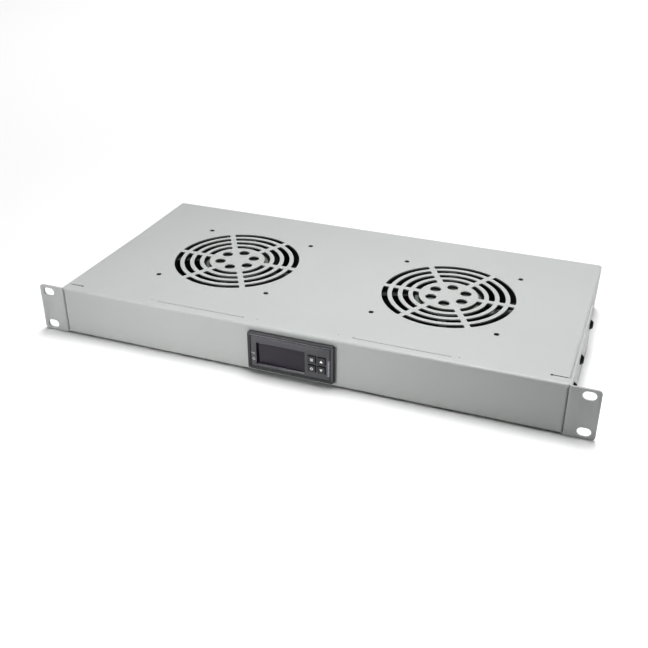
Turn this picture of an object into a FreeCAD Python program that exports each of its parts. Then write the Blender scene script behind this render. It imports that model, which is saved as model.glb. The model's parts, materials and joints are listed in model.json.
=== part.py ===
import FreeCAD, Part
import math
import os
import re

import Sketcher

# A 1U rack fan tray: a folded sheet tray hung between two rack brackets, with two 120 mm
# fans under ring grilles and a panel temperature controller in its front.
# +X runs along the rack's width, +Y into the rack and +Z up. The origin is the middle of the
# four rack slots, on the rear faces of the two ears.

# Driving sizes, in millimetres and degrees.
SIZES = [
    # Rack brackets
    ("ear_reach", 24.1, "side of the tray to the outer edge of an ear: 482.6 over both ears"),
    ("ear_height", 43.6, "height of an ear and of its wing"),
    ("ear_sheet", 1.5, "sheet of the brackets"),
    ("ear_corner", 3.0, "outer corners of an ear"),
    ("ear_bend", 0.5, "inside radius of a bracket's bend"),
    ("slot_inset", 8.75, "outer edge of an ear to the middle of its slots: 465.1 between them"),
    ("slot_pitch_up", 31.75, "rack slots, lower to upper"),
    ("slot_length", 10.5, "rack slot, end to end"),
    ("slot_width", 7.5, "rack slot, across"),
    ("wing_length", 142.0, "bracket wing, from the front face back"),
    ("wing_corner", 4.0, "rear corners of a wing"),
    # Side screws
    ("side_screw_up", 4.7, "height of the side screws above the rack slots' middle"),
    ("side_screw_first", 26.0, "first side screw, from the front face"),
    ("side_screw_second", 69.0, "second side screw, from the front face"),
    ("side_screw_third", 130.0, "third side screw, from the front face"),
    ("side_head_width", 9.0, "truss head of a side screw"),
    ("side_head_top", 5.4, "flat top of a side screw's head"),
    ("side_head_height", 2.5, "truss head of a side screw"),
    ("nut_flats", 7.0, "M4 nut, across its flats"),
    ("nut_height", 3.2, "M4 nut"),
    ("screw_size", 4.0, "M4 thread"),
    ("screw_room", 0.2, "radial room round a screw in its hole"),
    ("thread_room", 0.02, "radial room between a thread and its nut"),
    ("screw_end", 1.2, "thread standing past a nut"),
    # Folded tray
    ("tray_width", 434.4, "front face, over its end returns"),
    ("tray_height", 43.4, "front face and side flanges"),
    ("tray_depth", 216.0, "front face to rear flange"),
    ("tray_rise", 0.4, "middle of the tray above the rack slots' middle"),
    ("sheet", 1.2, "sheet of the tray"),
    ("bend", 1.0, "inside radius of the tray's bends"),
    ("fold_gap", 0.2, "between an end return and the side flange behind it"),
    ("front_return", 9.0, "return along the bottom of the front face"),
    ("end_return", 138.0, "end returns, from the front face back"),
    ("slit_place", 9.3, "front face to the slits beside the lip"),
    ("slit_width", 0.9, "slits beside the lip"),
    ("slit_length", 13.9, "slits, in from the tray's side"),
    ("slit_hole", 2.0, "round end of a slit"),
    # Grilles
    ("fan_spacing", 200.6, "between the two fans' axes"),
    ("fan_place", 107.1, "front face to the fans' axes"),
    ("ring_first", 28.0, "middle radius of the inner ring of slots"),
    ("ring_pitch", 9.0, "from ring to ring"),
    ("ring_slot", 4.0, "width of a ring slot"),
    ("spoke_width", 6.0, "spokes between the ring slots"),
    ("hub_hole", 9.0, "holes of a grille's hub"),
    ("hub_ring", 15.5, "radius of the ring of hub holes"),
    # Fans
    ("fan_size", 119.5, "fan frame, square"),
    ("fan_depth", 38.0, "fan frame, deep"),
    ("fan_corner", 7.0, "corners of the fan frame"),
    ("fan_flange", 4.5, "flanges of the fan frame"),
    ("fan_hole_inset", 7.25, "edge of the fan frame to its screws: 105 between them"),
    ("fan_rim", 2.45, "narrowest rim round the air duct"),
    ("fan_wall", 1.9, "wall of the air duct"),
    ("fan_mouth", 2.2, "flare of the duct's inlet edge"),
    ("mouth_depth", 3.3, "flare of the duct's inlet edge, deep"),
    ("motor_width", 62.0, "motor base and rotor hub"),
    ("motor_drop", 2.6, "motor base below the frame's top face"),
    ("motor_base", 3.4, "motor base, thick"),
    ("arm_width", 7.0, "arms that carry the motor base, as deep as the base"),
    ("arm_lean", 11.0, "outer end of an arm to the side of its inner end"),
    ("plate_width", 57.0, "bare plate on the motor base"),
    ("plate_sheet", 0.6, "bare plate on the motor base"),
    ("shaft_size", 4.0, "fan shaft"),
    ("shaft_short", 0.3, "end of the shaft below the motor base's top"),
    ("bearing_width", 11.0, "ball bearing, outside"),
    ("bearing_height", 4.0, "ball bearing"),
    ("bearing_drop", 0.8, "motor base's top to the ring clip over the upper bearing"),
    ("bearing_seat", 0.02, "radial room round a bearing in its tube"),
    ("running_gap", 0.03, "radial room round the shaft in a bearing"),
    ("tube_wall", 1.8, "bearing tube"),
    ("tube_length", 23.0, "bearing tube, below the motor base's top"),
    ("core_width", 48.0, "stator core"),
    ("core_height", 11.0, "stator core"),
    ("core_stem", 8.0, "poles of the stator core"),
    ("core_ring", 3.2, "ring of the stator core round the bearing tube"),
    ("core_shoe", 1.6, "pole shoes of the stator core, thick"),
    ("core_sweep", 32.0, "half the sweep of a pole shoe, in degrees"),
    ("coil_build", 3.2, "winding thickness round a pole"),
    ("air_gap", 0.4, "between the stator core and the rotor cage"),
    ("cage_wall", 2.2, "steel cage inside the rotor hub"),
    ("rotor_gap", 0.9, "between the motor base and the rotor hub"),
    ("rotor_lift", 2.4, "rotor hub above the frame's bottom face"),
    ("rotor_floor", 2.4, "closed end of the rotor hub"),
    ("rotor_bevel", 3.0, "bevelled edge of the rotor hub's closed end"),
    ("rotor_boss", 10.0, "boss that holds the shaft"),
    ("boss_height", 5.0, "boss that holds the shaft"),
    ("tip_gap", 0.9, "between the blade tips and the duct"),
    ("blade_sheet", 1.7, "thickness of a blade"),
    ("blade_camber", 60.0, "radius of a blade's bow"),
    ("root_chord", 27.0, "blade at the hub"),
    ("root_pitch", 44.0, "blade's angle at the hub"),
    ("tip_chord", 38.0, "blade at its tip"),
    ("tip_pitch", 32.0, "blade's angle at its tip"),
    ("clip_width", 7.0, "ring clip on the shaft"),
    ("clip_sheet", 0.6, "ring clip on the shaft"),
    # Finger guards and fan screws
    ("leg_wire", 1.8, "legs and loops of a finger guard"),
    ("ring_wire", 1.6, "rings of a finger guard"),
    ("weld_sink", 0.25, "rings sunk into the legs at their welds"),
    ("guard_first", 17.0, "radius of a guard's inner ring"),
    ("guard_pitch", 19.0, "from ring to ring of a guard"),
    ("loop_width", 9.4, "loops round the fan screws"),
    ("fan_head_width", 7.6, "pan head of a fan screw"),
    ("fan_head_height", 2.2, "pan head of a fan screw"),
    ("fan_screw_down", 0.4, "tip of a fan screw below the tray's top"),
    # Controller
    ("control_across", -1.5, "middle of the controller from the tray's middle"),
    ("control_up", -0.7, "middle of the controller from the tray's middle"),
    ("bezel_width", 75.0, "controller bezel"),
    ("bezel_height", 34.5, "controller bezel"),
    ("bezel_depth", 3.2, "controller bezel, out of the panel"),
    ("bezel_corner", 1.8, "controller bezel"),
    ("case_width", 70.8, "controller case behind the panel"),
    ("case_height", 28.8, "controller case behind the panel"),
    ("case_length", 74.0, "controller case behind the panel"),
    ("case_corner", 1.0, "controller case"),
    ("case_wall", 1.6, "controller case"),
    ("case_room", 0.3, "panel cut-out round the case"),
    ("front_wall", 4.7, "front wall of the controller"),
    ("window_across", -8.4, "middle of the window from the controller's middle"),
    ("window_up", -2.3, "middle of the window from the controller's middle"),
    ("window_width", 42.5, "display window"),
    ("window_height", 20.4, "display window"),
    ("window_sink", 2.0, "lens below the bezel's face"),
    ("lens_sheet", 1.5, "display lens"),
    ("lens_gap", 0.15, "round the lens in its window"),
    ("ledge", 1.2, "ledge that the lens rests on"),
    ("button_width", 6.6, "push buttons, square"),
    ("button_corner", 0.6, "push buttons"),
    ("button_gap", 0.25, "round a button in its hole"),
    ("button_proud", 1.0, "buttons out of the bezel's face"),
    ("button_travel", 0.5, "push of a button"),
    ("button_left", 19.1, "left column of buttons from the controller's middle"),
    ("button_right", 27.3, "right column of buttons from the controller's middle"),
    ("button_upper", 2.5, "upper row of buttons from the controller's middle"),
    ("button_lower", -5.7, "lower row of buttons from the controller's middle"),
    ("button_collar", 0.5, "collar that keeps a button in, beyond its hole"),
    ("collar_sheet", 1.0, "collar that keeps a button in"),
    ("stem_size", 3.0, "stem behind a button"),
    ("stem_room", 0.05, "stem to its switch with the button pushed in"),
    ("switch_width", 6.0, "tact switch"),
    ("switch_height", 3.5, "tact switch"),
    ("plunger_size", 3.4, "plunger of a tact switch"),
    ("plunger_height", 0.9, "plunger of a tact switch"),
    ("board_sheet", 1.6, "circuit boards"),
    ("front_board_place", 10.0, "panel's front face to the front board"),
    ("module_depth", 7.6, "display module"),
    ("module_rim", 1.5, "display module inside the window's outline"),
    ("main_board_length", 54.0, "main board"),
    ("main_board_up", 1.6, "main board above the case's inner floor"),
    ("part_gap", 0.2, "between neighbouring parts of the controller"),
    ("transformer_place", 4.0, "front edge of the main board to the transformer"),
    ("transformer_side", 5.0, "side of the case to the transformer"),
    ("transformer_length", 24.0, "transformer, into the tray"),
    ("transformer_width", 26.0, "transformer"),
    ("transformer_height", 18.0, "transformer"),
    ("relay_place", 30.0, "front edge of the main board to the relays"),
    ("relay_side", 1.0, "side of the case to the nearer relay"),
    ("relay_gap", 1.5, "between the two relays"),
    ("relay_length", 19.0, "relay, into the tray"),
    ("relay_width", 15.5, "relay"),
    ("relay_height", 15.0, "relay"),
    ("back_sheet", 2.0, "rear cover of the controller"),
    ("back_lip", 4.0, "rim of the rear cover inside the case"),
    ("terminal_width", 60.0, "terminal block"),
    ("terminal_height", 12.0, "terminal block"),
    ("terminal_depth", 9.0, "terminal block"),
    ("terminal_pitch", 7.2, "from terminal to terminal"),
    ("terminal_hole", 4.2, "wire wells of the terminal block"),
    ("terminal_hole_height", 7.2, "wire wells of the terminal block"),
    ("terminal_hole_depth", 7.2, "wire wells of the terminal block"),
    ("clip_length", 26.0, "side clips of the controller"),
    ("clip_nose", 3.0, "thick end of a side clip, long"),
    ("clip_taper", 13.0, "panel to the thin part of a side clip"),
    ("clip_height", 9.0, "side clips of the controller"),
    ("clip_thin", 1.2, "side clip at its rear end"),
    ("clip_thick", 3.0, "side clip against the panel"),
    # Rear flange
    ("gland_across", 0.0, "cable gland from the tray's middle"),
    ("gland_thread", 12.0, "cable gland, thread"),
    ("gland_flats", 15.0, "cable gland, across its flats"),
    ("gland_hex", 4.0, "hexagon of the cable gland"),
    ("gland_dome", 7.0, "domed nose of the cable gland"),
    ("gland_rim", 1.2, "rim round the bore at the nose's end"),
    ("gland_bore", 6.5, "cable gland, bore"),
    ("gland_inside", 8.0, "thread of the cable gland inside the flange"),
    ("lock_nut", 3.0, "lock nut of the cable gland"),
    ("probe_across", -60.0, "temperature probe from the tray's middle"),
    ("probe_up", -4.0, "temperature probe above the tray's middle"),
    ("probe_size", 6.0, "temperature probe"),
    ("probe_length", 30.0, "temperature probe"),
    ("probe_sleeve", 12.0, "rear sleeve of the probe"),
    ("strap_sheet", 1.0, "clip round the probe"),
    ("strap_width", 9.0, "clip round the probe"),
    ("strap_tab", 10.0, "flat tab of the clip round the probe"),
    ("strap_screw_end", 0.6, "thread standing past the nut of the probe's clip"),
]

RING_COUNT = 4
SECTORS = 6
SECTOR_STEP = 360 / SECTORS
ARM_COUNT = 4
BLADE_COUNT = 5
POLE_COUNT = 4
CLIP_SWEEP = 290
GUARD_RINGS = 3
GUARD_SIDES = 30
TERMINAL_COUNT = 8
RELAY_COUNT = 2
SIDES = (("left", -1), ("right", 1))
CORNERS = ((-1, -1), (1, -1), (1, 1), (-1, 1))

doc = FreeCAD.newDocument("RackFanTray")
sheet = doc.addObject("Spreadsheet::Sheet", "Sizes")
for row, (name, number, note) in enumerate(SIZES, 1):
    sheet.set(f"A{row}", name)
    sheet.set(f"B{row}", str(number))
    sheet.setAlias(f"B{row}", name)
    sheet.set(f"C{row}", note)
doc.recompute()

NAMES = re.compile(r"\b(" + "|".join(sorted((entry[0] for entry in SIZES), key=len, reverse=True)) + r")\b")

# Planes that several pieces share, as expressions on the sheet.
TOP = "(tray_rise + tray_height / 2)"
BOTTOM = "(tray_rise - tray_height / 2)"
FRONT = "(-ear_sheet)"
SIDE_FLANGE = "(tray_width / 2 - sheet - fold_gap)"
TRAY_BEND = "(bend + sheet)"
WING = "(tray_width / 2)"
EAR_OUT = "(tray_width / 2 + ear_reach)"
EAR_BEND = "(ear_bend + ear_sheet)"
SCREW = "(screw_size / 2)"
SCREW_HOLE = "(screw_size / 2 + screw_room)"
FAN_BACK = "(fan_place - ear_sheet)"
FAN_TOP = f"({TOP} - sheet)"
FAN_SCREW = "(fan_size / 2 - fan_hole_inset)"
SIDE_SCREWS = ("side_screw_first", "side_screw_second", "side_screw_third")
STRAP_LOOP = "(probe_size / 2 + thread_room + strap_sheet)"
STRAP_HOLE = "((probe_size + strap_tab) / 2 + strap_sheet)"

# How far a cut runs past what it cuts.
PAST = "1"

parts = []


def cells(words):
    """The expression, with each size's name pointed at its cell."""
    return NAMES.sub(r"Sizes.\1", words)


def value(words):
    """What the expression comes to now."""
    result = sheet.evalExpression(cells(words))
    return float(getattr(result, "Value", result))


def bind(item, prop, words):
    """Tie a property to the sheet."""
    item.setExpression(prop, cells(words))


def place(item, x="0", y="0", z="0", turn=None):
    """Put a finished piece at a place from the sheet, turned by a fixed rotation."""
    if turn is not None:
        item.Placement = FreeCAD.Placement(FreeCAD.Vector(), turn)
    for axis, words in zip("xyz", (x, y, z)):
        bind(item, ".Placement.Base." + axis, words)


def new_body(label):
    """An empty body; its label names the sub-part."""
    body = doc.addObject("PartDesign::Body", "Body_" + label)
    body.Label = label
    return body


def keep(item, label=None):
    """List a finished object as a sub-part."""
    if label:
        item.Label = label
    parts.append(item)
    return item


def origin_feature(body, role):
    """A plane or axis of the body's own origin."""
    return next(item for item in body.Origin.OriginFeatures if item.Role == role)


class Outlines:
    """A fully constrained sketch on one of its body's origin planes."""

    def __init__(self, body, name, plane, across="0", up="0", lift="0"):
        self.body = body
        self.name = name
        self.sketch = body.newObject("Sketcher::SketchObject", name)
        self.sketch.AttachmentSupport = [(origin_feature(body, plane), "")]
        self.sketch.MapMode = "FlatFace"
        for axis, words in zip("xyz", (across, up, lift)):
            bind(self.sketch, ".AttachmentOffset.Base." + axis, words)

    def fix(self, kind, geometry, point, words):
        """Hold one coordinate of a point, or a radius, at an expression."""
        number = value(words)
        if kind == "Radius":
            made = Sketcher.Constraint(kind, geometry, number)
        else:
            made = Sketcher.Constraint(kind, -1, 1, geometry, point, number)
        index = self.sketch.addConstraint(made)
        bind(self.sketch, f"Constraints[{index}]", words)

    def circle(self, x, y, radius):
        """A circle by its middle and radius."""
        middle = FreeCAD.Vector(value(x), value(y), 0)
        ring = Part.Circle(middle, FreeCAD.Vector(0, 0, 1), value(radius))
        geometry = self.sketch.addGeometry(ring)
        self.fix("DistanceX", geometry, 3, x)
        self.fix("DistanceY", geometry, 3, y)
        self.fix("Radius", geometry, 0, radius)
        return self

    def outline(self, corners):
        """A closed outline of corners (x, y), or (x, y, (cx, cy)) where an arc about a
        centre leads on to the next corner, or (x, y, radius, side) where an arc of a
        radius does, bowed to the left (+1) or right (-1) of its chord.
        """
        points = [(value(corner[0]), value(corner[1])) for corner in corners]
        ends = []
        for index, corner in enumerate(corners):
            start, stop = points[index], points[(index + 1) % len(points)]
            if len(corner) == 2:
                line = Part.LineSegment(FreeCAD.Vector(*start, 0), FreeCAD.Vector(*stop, 0))
                ends.append((self.sketch.addGeometry(line), 1, 2))
                continue
            centre = self.arc_centre(corner, start, stop)
            radius = math.dist(centre, start)
            first = math.atan2(start[1] - centre[1], start[0] - centre[0])
            last = math.atan2(stop[1] - centre[1], stop[0] - centre[0])
            forward = (last - first) % math.tau <= math.pi
            if not forward:
                first, last = last, first
            circle = Part.Circle(FreeCAD.Vector(*centre, 0), FreeCAD.Vector(0, 0, 1), radius)
            geometry = self.sketch.addGeometry(Part.ArcOfCircle(circle, first, last))
            ends.append((geometry, 1, 2) if forward else (geometry, 2, 1))
        for index, (geometry, start, stop) in enumerate(ends):
            after = ends[(index + 1) % len(ends)]
            self.sketch.addConstraint(Sketcher.Constraint("Coincident", geometry, stop, after[0], after[1]))
            self.fix("DistanceX", geometry, start, corners[index][0])
            self.fix("DistanceY", geometry, start, corners[index][1])
            if len(corners[index]) == 4:
                self.fix("Radius", geometry, 0, corners[index][2])
            elif len(corners[index]) == 3:
                following = points[(index + 1) % len(points)]
                centre_x, centre_y = corners[index][2]
                if abs(following[0] - points[index][0]) > abs(following[1] - points[index][1]):
                    self.fix("DistanceY", geometry, 3, centre_y)
                else:
                    self.fix("DistanceX", geometry, 3, centre_x)
        return self

    @staticmethod
    def arc_centre(corner, start, stop):
        """The centre of the arc that leaves a corner."""
        if len(corner) == 3:
            return value(corner[2][0]), value(corner[2][1])
        chord = math.dist(start, stop)
        rise = math.sqrt(max(value(corner[2]) ** 2 - (chord / 2) ** 2, 0))
        left = (-(stop[1] - start[1]) / chord, (stop[0] - start[0]) / chord)
        return tuple((a + b) / 2 - corner[3] * rise * n for a, b, n in zip(start, stop, left))

    def rectangle(self, x, y, width, height, corner=None):
        """A rectangle about a middle, its corners rounded if a radius is given."""
        left, right = f"({x} - ({width}) / 2)", f"({x} + ({width}) / 2)"
        low, high = f"({y} - ({height}) / 2)", f"({y} + ({height}) / 2)"
        if corner is None:
            return self.outline([(left, low), (right, low), (right, high), (left, high)])
        inner_left, inner_right = f"({left} + {corner})", f"({right} - {corner})"
        inner_low, inner_high = f"({low} + {corner})", f"({high} - {corner})"
        return self.outline([
            (inner_left, low), (inner_right, low, (inner_right, inner_low)),
            (right, inner_low), (right, inner_high, (inner_right, inner_high)),
            (inner_right, high), (inner_left, high, (inner_left, inner_high)),
            (left, inner_high), (left, inner_low, (inner_left, inner_low)),
        ])

    def slot(self, x, y, length, width):
        """A slot along the sketch's first axis, with round ends."""
        left, right = f"({x} - ({length} - {width}) / 2)", f"({x} + ({length} - {width}) / 2)"
        low, high = f"({y} - {width} / 2)", f"({y} + {width} / 2)"
        return self.outline([
            (left, low), (right, low, (right, y)), (f"{x} + {length} / 2", y, (right, y)), (right, high),
            (left, high, (left, y)), (f"{x} - {length} / 2", y, (left, y)),
        ])

    def hexagon(self, x, y, flats):
        """A hexagon about a middle, by its width across flats."""
        reach = f"({flats}) / sqrt(3)"
        return self.outline([
            (f"{x} + {reach} * cos({angle})", f"{y} + {reach} * sin({angle})") for angle in range(0, 360, 60)
        ])

    def feature(self, kind, suffix):
        """A feature of the body that is made from this sketch."""
        made = self.body.newObject("PartDesign::" + kind, self.name + suffix)
        made.Profile = self.sketch
        return made

    def pad(self, length, backwards=False):
        """Thicken the sketch along its plane's normal, or against it."""
        made = self.feature("Pad", "Pad")
        bind(made, "Length", length)
        made.Reversed = backwards
        return made

    def pocket(self, length, forwards=False):
        """Cut from the sketch against its plane's normal, or along it."""
        made = self.feature("Pocket", "Cut")
        bind(made, "Length", length)
        made.Reversed = forwards
        return made

    def turned(self, angle=360):
        """Revolve the sketch about its own upright axis."""
        made = self.feature("Revolution", "Turned")
        made.ReferenceAxis = (self.sketch, ["V_Axis"])
        made.Angle = angle
        return made

    def grooved(self):
        """Cut the sketch, revolved about its own upright axis."""
        made = self.feature("Groove", "Groove")
        made.ReferenceAxis = (self.sketch, ["V_Axis"])
        made.Angle = 360
        return made

    def ring_of(self, features, count, angle=360):
        """Repeat features about the normal through the sketch's origin."""
        made = self.body.newObject("PartDesign::PolarPattern", self.name + "Ring")
        made.Originals = features
        made.Axis = (self.sketch, ["N_Axis"])
        made.Angle = angle
        made.Occurrences = count
        self.body.Tip = made
        return made


def turned_body(label, corners, angle=360):
    """A body revolved about its own Z axis from one outline of (radius, height) corners."""
    body = new_body(label)
    Outlines(body, label + "_profile", "XZ_Plane").outline(corners).turned(angle)
    return body


def group(label, members):
    """Separate solids that share one sub-part."""
    made = doc.addObject("Part::Compound", "Group_" + label)
    made.Links = members
    return keep(made, label)


# Folded tray: its body's origin is the middle of the front face's outer side.
def ring_slot_corners(radius):
    """One sector's slot at a middle radius: two arcs about the fan's axis, joined by
    straight ends that lie along the spokes.
    """
    half = "(spoke_width / 2)"
    corners = []
    for edge, order in (("- ring_slot / 2", (False, True)), ("+ ring_slot / 2", (True, False))):
        reach = f"({radius} {edge})"
        along = f"sqrt({reach} ^ 2 - {half} ^ 2)"
        for far in order:
            x, y = along, half
            if far:
                x = f"{along} * cos({SECTOR_STEP}) + {half} * sin({SECTOR_STEP})"
                y = f"{along} * sin({SECTOR_STEP}) - {half} * cos({SECTOR_STEP})"
            starts_arc = far == order[0]
            corners.append((x, y, ("0", "0")) if starts_arc else (x, y))
    return corners


def make_tray():
    body = new_body("tray_panel")
    high, low = "(tray_height / 2)", "(-tray_height / 2)"
    rear = "tray_depth"
    round_high, round_low = f"({high} - {TRAY_BEND})", f"({low} + {TRAY_BEND})"
    flat = f"({SIDE_FLANGE} - {TRAY_BEND})"
    face_flat = f"(tray_width / 2 - {TRAY_BEND})"

    def lip_and_fold(top):
        """The bend between the front face and its lip or bottom return."""
        sign = "" if top else "-"
        edge, start = (high, round_high) if top else (low, round_low)
        reach = "slit_place" if top else "front_return"
        under = f"({edge} - {sign}sheet)".replace("--", "+ ")
        return [
            ("0", start, (TRAY_BEND, start)), (TRAY_BEND, edge), (reach, edge),
            (reach, under), (TRAY_BEND, under, (TRAY_BEND, start)), ("sheet", start),
        ]

    front = Outlines(body, "FrontFace", "YZ_Plane", lift=f"-{face_flat}")
    front.outline([("0", round_low), ("sheet", round_low), ("sheet", round_high), ("0", round_high)])
    front.pad(f"2 * {face_flat}")
    for name, top in (("Lip", True), ("BottomReturn", False)):
        fold = Outlines(body, name, "YZ_Plane", lift="-tray_width / 2")
        fold.outline(lip_and_fold(top)).pad("tray_width")
    top_and_rear = Outlines(body, "TopAndRear", "YZ_Plane", lift=f"-{flat}")
    top_and_rear.outline([
        ("slit_place", high), (f"{rear} - {TRAY_BEND}", high, (f"{rear} - {TRAY_BEND}", round_high)),
        (rear, round_high), (f"{rear} - sheet", round_high, (f"{rear} - {TRAY_BEND}", round_high)),
        (f"{rear} - {TRAY_BEND}", f"{high} - sheet"), ("slit_place", f"{high} - sheet"),
    ])
    top_and_rear.pad(f"2 * {flat}")
    returns = Outlines(body, "EndReturns", "XY_Plane", lift=round_low)
    for _, side in SIDES:
        returns.outline([
            (f"{side} * {face_flat}", "0", (f"{side} * {face_flat}", TRAY_BEND)),
            (f"{side} * tray_width / 2", TRAY_BEND), (f"{side} * tray_width / 2", "end_return"),
            (f"{side} * (tray_width / 2 - sheet)", "end_return"),
            (f"{side} * (tray_width / 2 - sheet)", TRAY_BEND, (f"{side} * {face_flat}", TRAY_BEND)),
            (f"{side} * {face_flat}", "sheet"),
        ])
    returns.pad(f"tray_height - 2 * {TRAY_BEND}")
    side_folds = Outlines(body, "SideFolds", "XZ_Plane", lift=f"-({rear} - {TRAY_BEND})")
    for _, side in SIDES:
        side_folds.outline([
            (f"{side} * {flat}", high, (f"{side} * {flat}", round_high)),
            (f"{side} * {SIDE_FLANGE}", round_high),
            (f"{side} * ({SIDE_FLANGE} - sheet)", round_high, (f"{side} * {flat}", round_high)),
            (f"{side} * {flat}", f"{high} - sheet"),
        ])
    side_folds.pad(f"{rear} - {TRAY_BEND} - slit_place - slit_width")
    # Below the folds the side flanges run back to the rear flange, which laps over their ends.
    flanges = Outlines(body, "SideFlanges", "XY_Plane", lift=low)
    flange_start, flange_end = "(slit_place + slit_width)", f"({rear} - sheet - fold_gap)"
    for _, side in SIDES:
        flanges.rectangle(f"{side} * ({SIDE_FLANGE} - sheet / 2)", f"({flange_start} + {flange_end}) / 2",
                          "sheet", f"{flange_end} - {flange_start}")
    flanges.pad(f"tray_height - {TRAY_BEND}")
    back = Outlines(body, "RearFlange", "XY_Plane", lift=low)
    back.rectangle("0", f"({rear} - sheet / 2)", f"2 * {SIDE_FLANGE}", "sheet")
    back.pad(f"tray_height - {TRAY_BEND}")

    slits = Outlines(body, "Slits", "XY_Plane", lift=high)
    slit_middle = "(slit_place + slit_width / 2)"
    for _, side in SIDES:
        slits.rectangle(f"{side} * tray_width / 2", slit_middle, "2 * slit_length", "slit_width")
    slits.pocket("sheet")
    slit_ends = Outlines(body, "SlitEnds", "XY_Plane", lift=high)
    for _, side in SIDES:
        slit_ends.circle(f"{side} * (tray_width / 2 - slit_length)", slit_middle, "slit_hole / 2")
    slit_ends.pocket("sheet")

    opening = Outlines(body, "ControllerOpening", "XZ_Plane")
    wide, tall = "case_width + 2 * case_room", "case_height + 2 * case_room"
    opening.rectangle("control_across", "control_up", wide, tall)
    opening.pocket("sheet")
    side_holes = Outlines(body, "SideHoles", "YZ_Plane", lift="-tray_width")
    for distance in SIDE_SCREWS:
        side_holes.circle(distance, "side_screw_up - tray_rise", SCREW_HOLE)
    side_holes.pocket("2 * tray_width", forwards=True)
    gland = Outlines(body, "GlandHole", "XZ_Plane", lift=f"-{rear}")
    gland.circle("gland_across", "0", "gland_thread / 2 + screw_room")
    gland.pocket("sheet", forwards=True)
    strap = Outlines(body, "StrapHole", "XZ_Plane", lift=f"-{rear}")
    strap.circle("probe_across", f"probe_up + {STRAP_HOLE}", SCREW_HOLE)
    strap.pocket("sheet", forwards=True)

    for label, side in SIDES:
        middle = f"{side} * fan_spacing / 2"
        sector = Outlines(body, label.title() + "Grille", "XY_Plane", middle, "fan_place", high)
        for ring in range(RING_COUNT):
            sector.outline(ring_slot_corners(f"(ring_first + {ring} * ring_pitch)"))
        middle_turn = SECTOR_STEP / 2
        sector.circle(f"hub_ring * cos({middle_turn})", f"hub_ring * sin({middle_turn})", "hub_hole / 2")
        cut = sector.pocket("sheet")
        sector.ring_of([cut], SECTORS)
        holes = Outlines(body, label.title() + "FanHoles", "XY_Plane", middle, "fan_place", high)
        for x, y in CORNERS:
            holes.circle(f"{x} * {FAN_SCREW}", f"{y} * {FAN_SCREW}", SCREW_HOLE)
        holes.pocket("sheet")
    place(body, y=FRONT, z="tray_rise")
    return keep(body)


# Rack brackets: an ear and a wing, folded from one strip.
def make_bracket(label, side):
    body = new_body(label + "_rack_bracket")
    half, wing_out = "(ear_height / 2)", f"({WING} + ear_sheet)"
    bend_x, bend_y = f"({WING} + {EAR_BEND})", f"({FRONT} + {EAR_BEND})"
    wing_end = "(wing_length - ear_sheet)"
    bent = Outlines(body, label.title() + "Fold", "XY_Plane", lift=f"-{half}")
    bent.outline([
        (f"{side} * {bend_x}", FRONT, (f"{side} * {bend_x}", bend_y)), (f"{side} * {WING}", bend_y),
        (f"{side} * {wing_out}", bend_y, (f"{side} * {bend_x}", bend_y)), (f"{side} * {bend_x}", "0"),
    ])
    bent.pad("ear_height")
    ear = Outlines(body, label.title() + "Ear", "XZ_Plane")
    corner_x = f"({EAR_OUT} - ear_corner)"
    corner_up = f"({half} - ear_corner)"
    ear.outline([
        (f"{side} * {bend_x}", f"-{half}"),
        (f"{side} * {corner_x}", f"-{half}", (f"{side} * {corner_x}", f"-{corner_up}")),
        (f"{side} * {EAR_OUT}", f"-{corner_up}"),
        (f"{side} * {EAR_OUT}", corner_up, (f"{side} * {corner_x}", corner_up)),
        (f"{side} * {corner_x}", half), (f"{side} * {bend_x}", half),
    ])
    slot_across = f"{side} * ({EAR_OUT} - slot_inset)"
    for row in (-1, 1):
        ear.slot(slot_across, f"{row} * slot_pitch_up / 2", "slot_length", "slot_width")
    ear.pad("ear_sheet")
    wing = Outlines(body, label.title() + "Wing", "YZ_Plane", lift=f"{side} * {WING}")
    round_y, round_z = f"({wing_end} - wing_corner)", f"({half} - wing_corner)"
    wing.outline([
        (bend_y, f"-{half}"), (round_y, f"-{half}", (round_y, f"-{round_z}")), (wing_end, f"-{round_z}"),
        (wing_end, round_z, (round_y, round_z)), (round_y, half), (bend_y, half),
    ])
    for distance in SIDE_SCREWS:
        wing.circle(f"{distance} - ear_sheet", "side_screw_up", SCREW_HOLE)
    wing.pad("ear_sheet", backwards=side < 0)
    return keep(body)


# Side screws: the head's seat is the body's origin and the thread points down its -Z.
def make_side_fasteners(label, side):
    turn = FreeCAD.Rotation(FreeCAD.Vector(0, 0, 1), FreeCAD.Vector(side, 0, 0))
    grip = "(ear_sheet + 2 * sheet + fold_gap)"
    screws, nuts = [], []
    for number, distance in enumerate(SIDE_SCREWS, 1):
        head = "(side_head_width / 2)"
        screw = turned_body(f"{label}_side_screw_{number}", [
            ("0", f"-({grip} + nut_height + screw_end)"), (SCREW, f"-({grip} + nut_height + screw_end)"),
            (SCREW, "0"), (head, "0"), ("side_head_top / 2", "side_head_height"), ("0", "side_head_height"),
        ])
        place(screw, f"{side} * ({WING} + ear_sheet)", f"{distance} - ear_sheet", "side_screw_up", turn)
        screws.append(screw)
        nut = new_body(f"{label}_side_nut_{number}")
        shape = Outlines(nut, f"{label}_side_nut_{number}_profile", "XY_Plane")
        shape.hexagon("0", "0", "nut_flats").circle("0", "0", f"{SCREW} + thread_room")
        shape.pad("nut_height", backwards=True)
        place(nut, f"{side} * ({SIDE_FLANGE} - sheet)", f"{distance} - ear_sheet", "side_screw_up", turn)
        nuts.append(nut)
    group(label + "_bracket_screws", screws)
    group(label + "_bracket_nuts", nuts)


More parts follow.
